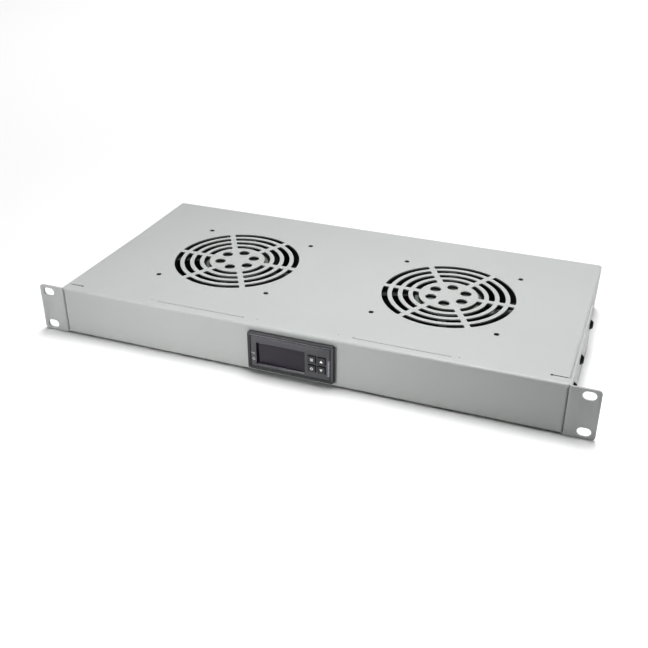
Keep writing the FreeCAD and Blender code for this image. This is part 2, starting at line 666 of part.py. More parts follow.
# Fans: each body's origin is on the fan's axis, at the frame's top face.
MOTOR_TOP = "(-motor_drop)"
MOTOR_UNDER = "(-motor_drop - motor_base)"
TUBE_BORE = "(bearing_width / 2 + bearing_seat)"
TUBE_OUT = "(bearing_width / 2 + bearing_seat + tube_wall)"
TUBE_END = "(-motor_drop - tube_length)"
DUCT = "(fan_size / 2 - fan_rim)"
HUB = "(motor_width / 2)"
HUB_TOP = "(-motor_drop - motor_base - rotor_gap)"
HUB_END = "(-fan_depth + rotor_lift)"
HUB_FLOOR = f"({HUB_END} + rotor_floor)"
SHAFT = "(shaft_size / 2)"
CAGE_BORE = "(core_width / 2 + air_gap)"
CAGE_OUT = "(core_width / 2 + air_gap + cage_wall)"
UPPER_BEARING = f"({MOTOR_TOP} - bearing_drop - clip_sheet - bearing_height)"
LOWER_BEARING = TUBE_END
CORE_TOP = f"({MOTOR_UNDER} - coil_build - part_gap)"


def place_on_fan(item, side):
    place(item, f"{side} * fan_spacing / 2", FAN_BACK, FAN_TOP)
    return item


def make_fan_frame(label, side):
    body = new_body(label + "_fan_frame")
    stem = label.title() + "Fan"
    for name, lift in (("TopFlange", "-fan_flange"), ("BottomFlange", "-fan_depth")):
        flange = Outlines(body, stem + name, "XY_Plane", lift=lift)
        if name == "BottomFlange":
            duct = Outlines(body, stem + "Duct", "XY_Plane", lift="-fan_depth")
            duct.circle("0", "0", f"{DUCT} + fan_wall").pad("fan_depth - fan_flange / 2")
        flange.rectangle("0", "0", "fan_size", "fan_size", "fan_corner").pad("fan_flange")
    Outlines(body, stem + "Bore", "XY_Plane").circle("0", "0", DUCT).pocket("fan_depth")
    mouth = Outlines(body, stem + "Mouth", "XZ_Plane")
    mouth.outline([
        (f"{DUCT} - {PAST}", "-fan_depth"), (f"{DUCT} + fan_mouth", "-fan_depth"),
        (DUCT, "-fan_depth + mouth_depth"), (f"{DUCT} - {PAST}", "-fan_depth + mouth_depth"),
    ])
    mouth.grooved()
    holes = Outlines(body, stem + "Holes", "XY_Plane")
    for x, y in CORNERS:
        holes.circle(f"{x} * {FAN_SCREW}", f"{y} * {FAN_SCREW}", SCREW_HOLE)
    holes.pocket("fan_depth")
    arm = Outlines(body, stem + "Arm", "XY_Plane", lift=MOTOR_TOP)
    arm_in, arm_out = f"({HUB} - arm_width)", f"({DUCT} + fan_wall / 2)"
    arm.outline([
        (arm_in, "-arm_width / 2"), (arm_out, "-arm_width / 2 + arm_lean"),
        (arm_out, "arm_width / 2 + arm_lean"), (arm_in, "arm_width / 2"),
    ])
    reach = arm.pad("motor_base", backwards=True)
    arm.ring_of([reach], ARM_COUNT)
    motor = Outlines(body, stem + "Motor", "XZ_Plane")
    motor.outline([
        (TUBE_BORE, MOTOR_TOP), (HUB, MOTOR_TOP), (HUB, MOTOR_UNDER),
        (TUBE_OUT, MOTOR_UNDER), (TUBE_OUT, TUBE_END), (TUBE_BORE, TUBE_END),
    ])
    motor.turned()
    return keep(place_on_fan(body, side))


def blade_section(body, name, radius, chord, pitch):
    """A blade's cross-section on the plane at a radius: a bowed strip at its pitch."""
    middle = f"(({HUB_TOP} + {HUB_END}) / 2)"
    section = Outlines(body, name, "YZ_Plane", lift=radius)

    def corner(end, face):
        """One corner, at an end of the chord (-1 or 1) and on a face (-1 or 1)."""
        run, rise = f"{end} * {chord} / 2", f"{face} * blade_sheet / 2"
        x = f"({run}) * cos({pitch}) - ({rise}) * sin({pitch})"
        y = f"{middle} + ({run}) * sin({pitch}) + ({rise}) * cos({pitch})"
        return x, y

    section.outline([
        (*corner(-1, 1), "blade_camber + blade_sheet / 2", 1), corner(1, 1),
        (*corner(1, -1), "blade_camber - blade_sheet / 2", -1), corner(-1, -1),
    ])
    return section.sketch


def make_fan_rotor(label, side):
    body = new_body(label + "_fan_rotor")
    stem = label.title() + "Rotor"
    edge = f"({HUB} - rotor_bevel)"
    hub = Outlines(body, stem + "Hub", "XZ_Plane")
    hub.outline([
        ("0", HUB_TOP), (HUB, HUB_TOP), (HUB, f"{HUB_END} + rotor_bevel"), (edge, HUB_END), ("0", HUB_END),
    ])
    hub.turned()
    tip = f"({DUCT} - tip_gap)"
    wall_middle = f"(({CAGE_OUT} + {HUB}) / 2)"
    sections = [
        blade_section(body, stem + "Root", wall_middle, "root_chord", "root_pitch"),
        blade_section(body, stem + "Tip", f"({tip} + {PAST})", "tip_chord", "tip_pitch"),
    ]
    blade = body.newObject("PartDesign::AdditiveLoft", stem + "Blade")
    blade.Profile = sections[0]
    blade.Sections = sections[1:]
    blade.Ruled = True
    blades = body.newObject("PartDesign::PolarPattern", stem + "Blades")
    blades.Originals = [blade]
    blades.Axis = (origin_feature(body, "Z_Axis"), [""])
    blades.Angle = 360
    blades.Occurrences = BLADE_COUNT
    body.Tip = blades
    tips = Outlines(body, stem + "Tips", "XY_Plane")
    tips.circle("0", "0", f"{tip} + tip_chord").circle("0", "0", tip)
    trimmed = tips.pocket("fan_depth")
    hollow = Outlines(body, stem + "Hollow", "XZ_Plane")
    hollow.outline([
        ("0", f"{HUB_TOP} + {PAST}"), (CAGE_OUT, f"{HUB_TOP} + {PAST}"), (CAGE_OUT, HUB_FLOOR),
        ("rotor_boss / 2", HUB_FLOOR), ("rotor_boss / 2", f"{HUB_FLOOR} + boss_height"),
        ("0", f"{HUB_FLOOR} + boss_height"),
    ])
    cupped = hollow.grooved()
    bore = Outlines(body, stem + "Bore", "XY_Plane", lift=f"{HUB_FLOOR} + boss_height + {PAST}")
    bored = bore.circle("0", "0", f"{SHAFT} + thread_room").pocket(f"boss_height + {PAST}")
    # The blades' faces are left as lofted: merging them with their neighbours spoils the solid.
    for step in (blade, blades, trimmed, cupped, bored):
        step.Refine = False
    return keep(place_on_fan(body, side))


def make_fan_inside(label, side):
    """Shaft, clip, bearings, stator, coils, cage and the plate over the motor."""
    clip_seat = f"({UPPER_BEARING} + bearing_height)"
    shaft = turned_body(label + "_fan_shaft", [
        ("0", HUB_FLOOR), (SHAFT, HUB_FLOOR), (SHAFT, f"{MOTOR_TOP} - shaft_short"),
        ("0", f"{MOTOR_TOP} - shaft_short"),
    ])
    keep(place_on_fan(shaft, side))
    clip = turned_body(label + "_shaft_clip", [
        (f"{SHAFT} + thread_room", clip_seat), ("clip_width / 2", clip_seat),
        ("clip_width / 2", f"{clip_seat} + clip_sheet"),
        (f"{SHAFT} + thread_room", f"{clip_seat} + clip_sheet"),
    ], angle=CLIP_SWEEP)
    keep(place_on_fan(clip, side))
    bearings = []
    for name, low in (("upper", UPPER_BEARING), ("lower", LOWER_BEARING)):
        bore, high = f"({SHAFT} + running_gap)", f"({low} + bearing_height)"
        bearing = turned_body(f"{label}_{name}_bearing", [
            (bore, low), ("bearing_width / 2", low), ("bearing_width / 2", high), (bore, high),
        ])
        bearings.append(place_on_fan(bearing, side))
    group(label + "_fan_bearings", bearings)

    core = new_body(label + "_stator_core")
    ring_out = f"({TUBE_OUT} + thread_room + core_ring)"
    yoke = Outlines(core, label.title() + "Yoke", "XY_Plane", lift=f"{CORE_TOP} - core_height")
    yoke.circle("0", "0", ring_out).circle("0", "0", f"{TUBE_OUT} + thread_room").pad("core_height")
    pole = Outlines(core, label.title() + "Pole", "XY_Plane", lift=f"{CORE_TOP} - core_height")
    shoe, wide = "(core_width / 2 * cos(core_sweep))", "(core_width / 2 * sin(core_sweep))"
    stem_in = f"({ring_out} - core_ring / 2)"
    shoe_in = f"({shoe} - core_shoe)"
    pole.outline([
        (stem_in, "-core_stem / 2"), (shoe_in, "-core_stem / 2"), (shoe_in, f"-{wide}"),
        (shoe, f"-{wide}", ("0", "0")), (shoe, wide), (shoe_in, wide), (shoe_in, "core_stem / 2"),
        (stem_in, "core_stem / 2"),
    ])
    pole.ring_of([pole.pad("core_height")], POLE_COUNT)
    keep(place_on_fan(core, side))
    coils = []
    for number in range(POLE_COUNT):
        coil = new_body(f"{label}_coil_{number + 1}")
        near, far = f"({ring_out} + part_gap)", f"({shoe_in} - part_gap)"
        turns = Outlines(coil, f"{label}_coil_{number + 1}_profile", "YZ_Plane", lift=near)
        middle = f"({CORE_TOP} - core_height / 2)"
        turns.rectangle("0", middle, "core_stem + 2 * coil_build", "core_height + 2 * coil_build")
        turns.rectangle("0", middle, "core_stem + 2 * thread_room", "core_height + 2 * thread_room")
        turns.pad(f"{far} - {near}")
        turn = FreeCAD.Rotation(360 / POLE_COUNT * number, 0, 0)
        coil.Placement = FreeCAD.Placement(FreeCAD.Vector(), turn)
        coils.append(place_on_fan(coil, side))
    group(label + "_stator_coils", coils)

    cage = turned_body(label + "_rotor_cage", [
        (CAGE_BORE, f"{HUB_TOP} - part_gap"), (f"{CAGE_OUT} - thread_room", f"{HUB_TOP} - part_gap"),
        (f"{CAGE_OUT} - thread_room", HUB_FLOOR), (CAGE_BORE, HUB_FLOOR),
    ])
    keep(place_on_fan(cage, side))
    plate = doc.addObject("Part::Cylinder", label.title() + "MotorPlate")
    bind(plate, "Radius", "plate_width / 2")
    bind(plate, "Height", "plate_sheet")
    keep(plate, label + "_motor_plate")
    place(plate, f"{side} * fan_spacing / 2", FAN_BACK, f"{FAN_TOP} + {MOTOR_TOP}")


def prism(body, kind, name, radius, low, height):
    """A many-sided disc about the body's own axis, added or cut."""
    made = body.newObject(f"PartDesign::{kind}Prism", name)
    made.Polygon = GUARD_SIDES
    bind(made, "Circumradius", radius)
    bind(made, "Height", height)
    bind(made, ".Placement.Base.z", low)


def make_guard_and_screws(label, side):
    body = new_body(label + "_finger_guard")
    stem = label.title() + "Guard"
    # The rings come first, from the outer one in, because each is a disc with a disc cut from it.
    low = "(-fan_depth - leg_wire + weld_sink - ring_wire)"
    for number in reversed(range(GUARD_RINGS)):
        middle = f"(guard_first + {number} * guard_pitch)"
        prism(body, "Additive", f"{stem}Ring{number}", f"{middle} + ring_wire / 2", low, "ring_wire")
        prism(body, "Subtractive", f"{stem}Inside{number}", f"{middle} - ring_wire / 2", low, "ring_wire")
    legs = Outlines(body, stem + "Leg", "XY_Plane", lift="-fan_depth")
    # Half the wire, measured across a diagonal leg.
    slant = "(leg_wire / sqrt(8))"
    legs.outline([
        (f"-{FAN_SCREW} + {slant}", f"-{FAN_SCREW} - {slant}"),
        (f"{FAN_SCREW} + {slant}", f"{FAN_SCREW} - {slant}"),
        (f"{FAN_SCREW} - {slant}", f"{FAN_SCREW} + {slant}"),
        (f"-{FAN_SCREW} - {slant}", f"-{FAN_SCREW} + {slant}"),
    ])
    legs.ring_of([legs.pad("leg_wire", backwards=True)], 2, angle=90)
    loops = Outlines(body, stem + "Loops", "XY_Plane", lift="-fan_depth")
    holes = Outlines(body, stem + "Holes", "XY_Plane", lift="-fan_depth")
    for x, y in CORNERS:
        middle = (f"{x} * {FAN_SCREW}", f"{y} * {FAN_SCREW}")
        loops.circle(*middle, "loop_width / 2")
        holes.circle(*middle, f"{SCREW_HOLE} + screw_room")
    loops.pad("leg_wire", backwards=True)
    holes.pocket("leg_wire + ring_wire")
    keep(place_on_fan(body, side))

    screws = []
    for number, (x, y) in enumerate(CORNERS, 1):
        head, seat = "(fan_head_width / 2)", "(-fan_depth - leg_wire)"
        tip = "(sheet - fan_screw_down)"
        screw = turned_body(f"{label}_fan_screw_{number}", [
            ("0", f"{seat} - fan_head_height"), (head, f"{seat} - fan_head_height"), (head, seat),
            (SCREW, seat), (SCREW, tip), ("0", tip),
        ])
        across, back = f"{side} * fan_spacing / 2 + {x} * {FAN_SCREW}", f"{FAN_BACK} + {y} * {FAN_SCREW}"
        place(screw, across, back, FAN_TOP)
        screws.append(screw)
    group(label + "_fan_screws", screws)


# Controller: each body's origin is on the panel's front face, at the controller's middle.
FACE = "(-bezel_depth)"
FRONT_BACK = "(front_wall - bezel_depth)"
CASE_FLOOR = "(-case_height / 2 + case_wall)"
BUTTONS = (
    ("button_set", "button_left", "button_upper"), ("button_up", "button_right", "button_upper"),
    ("button_power", "button_left", "button_lower"), ("button_down", "button_right", "button_lower"),
)


def place_on_controller(item, across="0", back="0", up="0"):
    place(item, f"control_across + {across}", f"{FRONT} + {back}", f"tray_rise + control_up + {up}")
    return item


def make_controller_case():
    body = new_body("controller_case")
    bezel = Outlines(body, "Bezel", "XZ_Plane")
    bezel.rectangle("0", "0", "bezel_width", "bezel_height", "bezel_corner").pad("bezel_depth")
    case = Outlines(body, "Case", "XZ_Plane")
    case.rectangle("0", "0", "case_width", "case_height", "case_corner").pad("case_length", backwards=True)
    inside = Outlines(body, "CaseInside", "XZ_Plane", lift="-case_length")
    inside.rectangle("0", "0", "case_width - 2 * case_wall", "case_height - 2 * case_wall")
    inside.pocket(f"case_length - {FRONT_BACK}", forwards=True)
    window = Outlines(body, "Window", "XZ_Plane", lift="bezel_depth")
    window.rectangle("window_across", "window_up", "window_width", "window_height")
    window.pocket("window_sink + lens_sheet")
    opening = Outlines(body, "WindowOpening", "XZ_Plane", lift="bezel_depth")
    opening.rectangle("window_across", "window_up", "window_width - 2 * ledge", "window_height - 2 * ledge")
    opening.pocket("front_wall")
    holes = Outlines(body, "ButtonHoles", "XZ_Plane", lift="bezel_depth")
    for _, across, up in BUTTONS:
        holes.rectangle(across, up, "button_width + 2 * button_gap", "button_width + 2 * button_gap")
    holes.pocket("front_wall")
    keep(place_on_controller(body))


def make_display():
    lens = new_body("display_window")
    outline = Outlines(lens, "Lens", "XZ_Plane", lift=f"-({FACE} + window_sink)")
    wide, tall = "window_width - 2 * lens_gap", "window_height - 2 * lens_gap"
    outline.rectangle("window_across", "window_up", wide, tall)
    outline.pad("lens_sheet", backwards=True)
    keep(place_on_controller(lens))
    module = new_body("display_module")
    block = Outlines(module, "Module", "XZ_Plane", lift="-front_board_place")
    wide, tall = "window_width - 2 * module_rim", "window_height - 2 * module_rim"
    block.rectangle("window_across", "window_up", wide, tall)
    block.pad("module_depth")
    keep(place_on_controller(module))
    board = new_body("front_board")
    blank = Outlines(board, "FrontBoard", "XZ_Plane", lift="-front_board_place")
    inner_width = "(case_width - 2 * case_wall - 2 * part_gap)"
    inner_height = "(case_height - 2 * case_wall - 2 * part_gap)"
    blank.rectangle("0", "0", inner_width, inner_height).pad("board_sheet", backwards=True)
    keep(place_on_controller(board))


def make_buttons():
    switches = []
    for name, across, up in BUTTONS:
        button = new_body(name)
        cap = Outlines(button, name + "_cap", "XZ_Plane", lift=f"-({FACE} - button_proud)")
        cap.rectangle("0", "0", "button_width", "button_width", "button_corner")
        collar_face = f"({FRONT_BACK} + thread_room)"
        cap.pad(f"{collar_face} - {FACE} + button_proud", backwards=True)
        collar = Outlines(button, name + "_collar", "XZ_Plane", lift=f"-{collar_face}")
        collar_width = "button_width + 2 * button_gap + button_collar"
        collar.rectangle("0", "0", collar_width, collar_width).pad("collar_sheet", backwards=True)
        switch_face = "(front_board_place - switch_height - plunger_height)"
        stem = Outlines(button, name + "_stem", "XZ_Plane", lift=f"-{collar_face}")
        stem.circle("0", "0", "stem_size / 2")
        stem.pad(f"{switch_face} - button_travel - stem_room - {collar_face}", backwards=True)
        keep(place_on_controller(button, across, up=up))
        switch = new_body(name + "_switch")
        block = Outlines(switch, name + "_switch_block", "XZ_Plane", lift="-front_board_place")
        block.rectangle("0", "0", "switch_width", "switch_width").pad("switch_height")
        plunger = Outlines(switch, name + "_switch_plunger", "XZ_Plane", lift="-front_board_place")
        plunger.circle("0", "0", "plunger_size / 2").pad("switch_height + plunger_height")
        switches.append(place_on_controller(switch, across, up=up))
    group("button_switches", switches)


def make_box(name, label, width, length, height, across, back, up):
    """A plain component: its footprint's middle, its front and its underside."""
    box = doc.addObject("Part::Box", name)
    bind(box, "Length", width)
    bind(box, "Width", length)
    bind(box, "Height", height)
    keep(box, label)
    return place_on_controller(box, f"{across} - ({width}) / 2", back, up)


def make_controller_inside():
    board_front = "(front_board_place + board_sheet + part_gap)"
    board_up = f"({CASE_FLOOR} + main_board_up)"
    deck = f"({board_up} + board_sheet)"
    make_box("MainBoard", "main_board", "case_width - 2 * case_wall - 2 * part_gap", "main_board_length",
             "board_sheet", "0", board_front, board_up)
    side_wall = "(case_width / 2 - case_wall)"
    across = f"(transformer_side + transformer_width / 2 - {side_wall})"
    make_box("Transformer", "mains_transformer", "transformer_width", "transformer_length",
             "transformer_height", across, f"{board_front} + transformer_place", deck)
    relays = []
    for number in range(RELAY_COUNT):
        across = f"({side_wall} - relay_side - relay_width / 2 - {number} * (relay_width + relay_gap))"
        relay = make_box(f"Relay{number + 1}", f"relay_{number + 1}", "relay_width", "relay_length",
                         "relay_height", across, f"{board_front} + relay_place", deck)
        parts.remove(relay)
        relays.append(relay)
    group("output_relays", relays)


def make_controller_back():
    cover = new_body("controller_back")
    plate = Outlines(cover, "BackPlate", "XZ_Plane", lift="-case_length")
    plate.rectangle("0", "0", "case_width", "case_height", "case_corner").pad("back_sheet", backwards=True)
    rim = Outlines(cover, "BackRim", "XZ_Plane", lift="-case_length")
    outer_width = "(case_width - 2 * case_wall - part_gap)"
    outer_height = "(case_height - 2 * case_wall - part_gap)"
    rim.rectangle("0", "0", outer_width, outer_height)
    rim.rectangle("0", "0", f"{outer_width} - 2 * case_wall", f"{outer_height} - 2 * case_wall")
    rim.pad("back_lip")
    keep(place_on_controller(cover))
    block = new_body("terminal_block")
    middle = "(case_height / 2 - terminal_height / 2 - case_wall)"
    rear = "(case_length + back_sheet)"
    solid = Outlines(block, "TerminalBlock", "XZ_Plane", lift=f"-{rear}")
    solid.rectangle("0", middle, "terminal_width", "terminal_height").pad("terminal_depth", backwards=True)
    wells = Outlines(block, "TerminalWells", "XZ_Plane", lift=f"-({rear} + terminal_depth)")
    for number in range(TERMINAL_COUNT):
        across = f"(({number} - {(TERMINAL_COUNT - 1) / 2}) * terminal_pitch)"
        wells.rectangle(across, middle, "terminal_hole", "terminal_hole_height")
    wells.pocket("terminal_hole_depth", forwards=True)
    keep(place_on_controller(block))


def make_side_clips():
    """Wedge clips that slide along the case's sides and press on the panel's rear."""
    for label, side in SIDES:
        clip = new_body(label + "_controller_clip")
        wedge = Outlines(clip, label.title() + "Wedge", "XY_Plane", lift="-clip_height / 2")
        inner = f"({side} * case_width / 2)"
        wedge.outline([
            (inner, "sheet"), (f"{inner} + {side} * clip_thick", "sheet"),
            (f"{inner} + {side} * clip_thick", "sheet + clip_nose"),
            (f"{inner} + {side} * clip_thin", "sheet + clip_taper"),
            (f"{inner} + {side} * clip_thin", "sheet + clip_length"), (inner, "sheet + clip_length"),
        ])
        wedge.pad("clip_height")
        keep(place_on_controller(clip))


# Rear flange: a cable gland with its lock nut, and the probe in its clip.
def make_gland():
    turn = FreeCAD.Rotation(FreeCAD.Vector(0, 0, 1), FreeCAD.Vector(0, 1, 0))
    seat_back = f"{FRONT} + tray_depth"
    gland = new_body("cable_gland")
    nose = Outlines(gland, "GlandNose", "XZ_Plane")
    thread, bore = "(gland_thread / 2)", "(gland_bore / 2)"
    flats = "(gland_flats / 2)"
    dome = "(gland_hex + gland_dome)"
    nose.outline([
        (bore, "-gland_inside"), (thread, "-gland_inside"), (thread, "0"), (flats, "0"), (flats, "gland_hex"),
        (f"{bore} + gland_rim", dome), (bore, dome),
    ])
    nose.turned()
    hexagon = Outlines(gland, "GlandHex", "XY_Plane")
    hexagon.hexagon("0", "0", "gland_flats").circle("0", "0", thread)
    hexagon.pad("gland_hex")
    place(gland, "gland_across", seat_back, "tray_rise", turn)
    keep(gland)
    nut = new_body("gland_lock_nut")
    ring = Outlines(nut, "LockNut", "XY_Plane")
    ring.hexagon("0", "0", "gland_flats").circle("0", "0", f"{thread} + thread_room")
    ring.pad("lock_nut", backwards=True)
    place(nut, "gland_across", f"{seat_back} - sheet", "tray_rise", turn)
    keep(nut)


def make_probe():
    """The probe lies along the rear flange; its clip's tab stands up against the flange."""
    across = FreeCAD.Vector(1, 0, 0)
    back = FreeCAD.Vector(0, 1, 0)
    up = FreeCAD.Vector(0, 0, 1)
    radius = "(probe_size / 2)"
    inner_face = f"({FRONT} + tray_depth - sheet)"
    axis_back, axis_up = f"({inner_face} - {STRAP_LOOP})", "(tray_rise + probe_up)"
    half = "(probe_length / 2)"
    sleeve = f"({radius} - strap_sheet)"
    probe = turned_body("temperature_probe", [
        ("0", f"-{half}"), (radius, f"-{half}"), (radius, f"{half} - probe_sleeve"),
        (sleeve, f"{half} - probe_sleeve"), (sleeve, half), ("0", half),
    ])
    place(probe, "probe_across", axis_back, axis_up, FreeCAD.Rotation(up, across))
    keep(probe)
    strap = new_body("probe_clip")
    band = Outlines(strap, "ProbeBand", "XZ_Plane", lift="-strap_width / 2")
    band.circle("0", "0", STRAP_LOOP).circle("0", "0", f"{radius} + thread_room").pad("strap_width")
    tab = Outlines(strap, "ProbeTab", "XY_Plane", lift=f"{STRAP_LOOP} - strap_sheet")
    tab_end = f"({STRAP_LOOP} + strap_tab)"
    tab.rectangle(f"({tab_end} / 2)", "0", tab_end, "strap_width")
    tab.circle(STRAP_HOLE, "0", SCREW_HOLE)
    tab.pad("strap_sheet")
    place(strap, "probe_across", axis_back, axis_up, FreeCAD.Rotation(up, across, back))
    keep(strap)
    grip = "(sheet + strap_sheet)"
    thread_end = f"-({grip} + nut_height + strap_screw_end)"
    hole_up = f"{axis_up} + {STRAP_HOLE}"
    screw = turned_body("probe_clip_screw", [
        ("0", thread_end), (SCREW, thread_end), (SCREW, "0"), ("fan_head_width / 2", "0"),
        ("fan_head_width / 2", "fan_head_height"), ("0", "fan_head_height"),
    ])
    place(screw, "probe_across", f"{FRONT} + tray_depth", hole_up, FreeCAD.Rotation(up, back))
    keep(screw)
    nut = new_body("probe_clip_nut")
    ring = Outlines(nut, "ProbeNut", "XY_Plane")
    ring.hexagon("0", "0", "nut_flats").circle("0", "0", f"{SCREW} + thread_room")
    ring.pad("nut_height", backwards=True)
    place(nut, "probe_across", f"{inner_face} - strap_sheet", hole_up, FreeCAD.Rotation(up, back))
    keep(nut)


make_tray()
for label, side in SIDES:
    make_bracket(label, side)
    make_side_fasteners(label, side)
    make_fan_frame(label, side)
    make_fan_rotor(label, side)
    make_fan_inside(label, side)
    make_guard_and_screws(label, side)
make_controller_case()
make_display()
make_buttons()
make_controller_inside()
make_controller_back()
make_side_clips()
make_gland()
make_probe()
doc.recompute()

faults = [item.Name for item in doc.Objects if {"Invalid", "Error"} & set(item.State)]
for item in parts:
    if item.Shape.isNull() or not item.Shape.isValid() or not item.Shape.Solids:
        faults.append(item.Label)
if faults:
    raise RuntimeError("not built: " + ", ".join(faults))

os.makedirs("parts", exist_ok=True)
for item in parts:
    item.Shape.exportStep(os.path.join("parts", item.Label + ".step"))
    print(f"{item.Label}: {len(item.Shape.Solids)} solids, {item.Shape.Volume / 1000:.2f} cm3")
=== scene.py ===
"""The looks of a 1U rack fan tray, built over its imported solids.

The folded tray, its brackets, fans, controller and rear fittings take their places and sizes from the
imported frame. Lengths in the classes are in millimetres; meshes are in metres.
"""

import json
import logging
import math
from dataclasses import dataclass
from enum import Enum
from typing import Callable, Sequence

import bmesh
import bpy
from mathutils import Matrix, Vector


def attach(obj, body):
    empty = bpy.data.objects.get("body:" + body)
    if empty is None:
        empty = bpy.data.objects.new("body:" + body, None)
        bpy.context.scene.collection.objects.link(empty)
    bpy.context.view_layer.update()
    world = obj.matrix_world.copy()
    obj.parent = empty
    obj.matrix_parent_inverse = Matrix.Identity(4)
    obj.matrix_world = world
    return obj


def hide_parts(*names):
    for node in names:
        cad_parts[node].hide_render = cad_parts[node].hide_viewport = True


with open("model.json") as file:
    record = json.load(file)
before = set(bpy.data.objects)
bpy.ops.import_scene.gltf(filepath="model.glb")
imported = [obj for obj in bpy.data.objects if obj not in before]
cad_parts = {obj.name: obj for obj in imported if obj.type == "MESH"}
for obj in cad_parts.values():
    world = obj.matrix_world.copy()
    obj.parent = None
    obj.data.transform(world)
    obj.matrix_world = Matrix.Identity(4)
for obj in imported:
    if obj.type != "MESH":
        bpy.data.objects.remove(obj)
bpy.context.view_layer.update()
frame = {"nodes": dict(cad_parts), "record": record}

log = logging.getLogger("rack_fan_tray")
MM = 0.001
BODIES = frame["record"]["behaviour"]["bodies"]
BODY_OF = {node: body for body, nodes in BODIES.items() for node in nodes}
TRAY = BODY_OF["tray_panel"]
Point = tuple[float, float, float]

# Small lengths in metres
MICRON = 1e-6
SAME_PLACE = 1e-5
# How near, in millimetres, a corner counts as lying on a line, on a plane or on a circle
ON_LINE = 0.05
ON_PLANE = 0.1
ON_CIRCLE = 0.12
# The screen's colour curve: straight below the knee, and a power above it
CURVE_KNEE = 0.04045
CURVE_SLOPE = 12.92
CURVE_LIFT = 0.055
CURVE_POWER = 2.4


# Shader node groups


class Relief(Enum):
    """The small relief that a finish has."""

    ORANGE_PEEL = "orange_peel"
    CAST = "cast_skin"
    MOULDED = "moulded_grain"
    BRUSHED = "brushed_lines"
    DRAWN = "drawn_lines"
    LAMINATED = "laminations"
    WOUND = "wound_wire"


def linear(shade: float) -> float:
    """Turns one screen value into linear light.

    Args:
        shade: The value, from 0 to 255.

    Returns:
        The light, from 0 to 1.
    """
    part = shade / 255
    if part <= CURVE_KNEE:
        return part / CURVE_SLOPE
    return ((part + CURVE_LIFT) / (1 + CURVE_LIFT)) ** CURVE_POWER


def colour_of(red: float, green: float, blue: float) -> tuple[float, float, float, float]:
    """A screen colour as the linear colour that a socket takes."""
    return linear(red), linear(green), linear(blue), 1.0


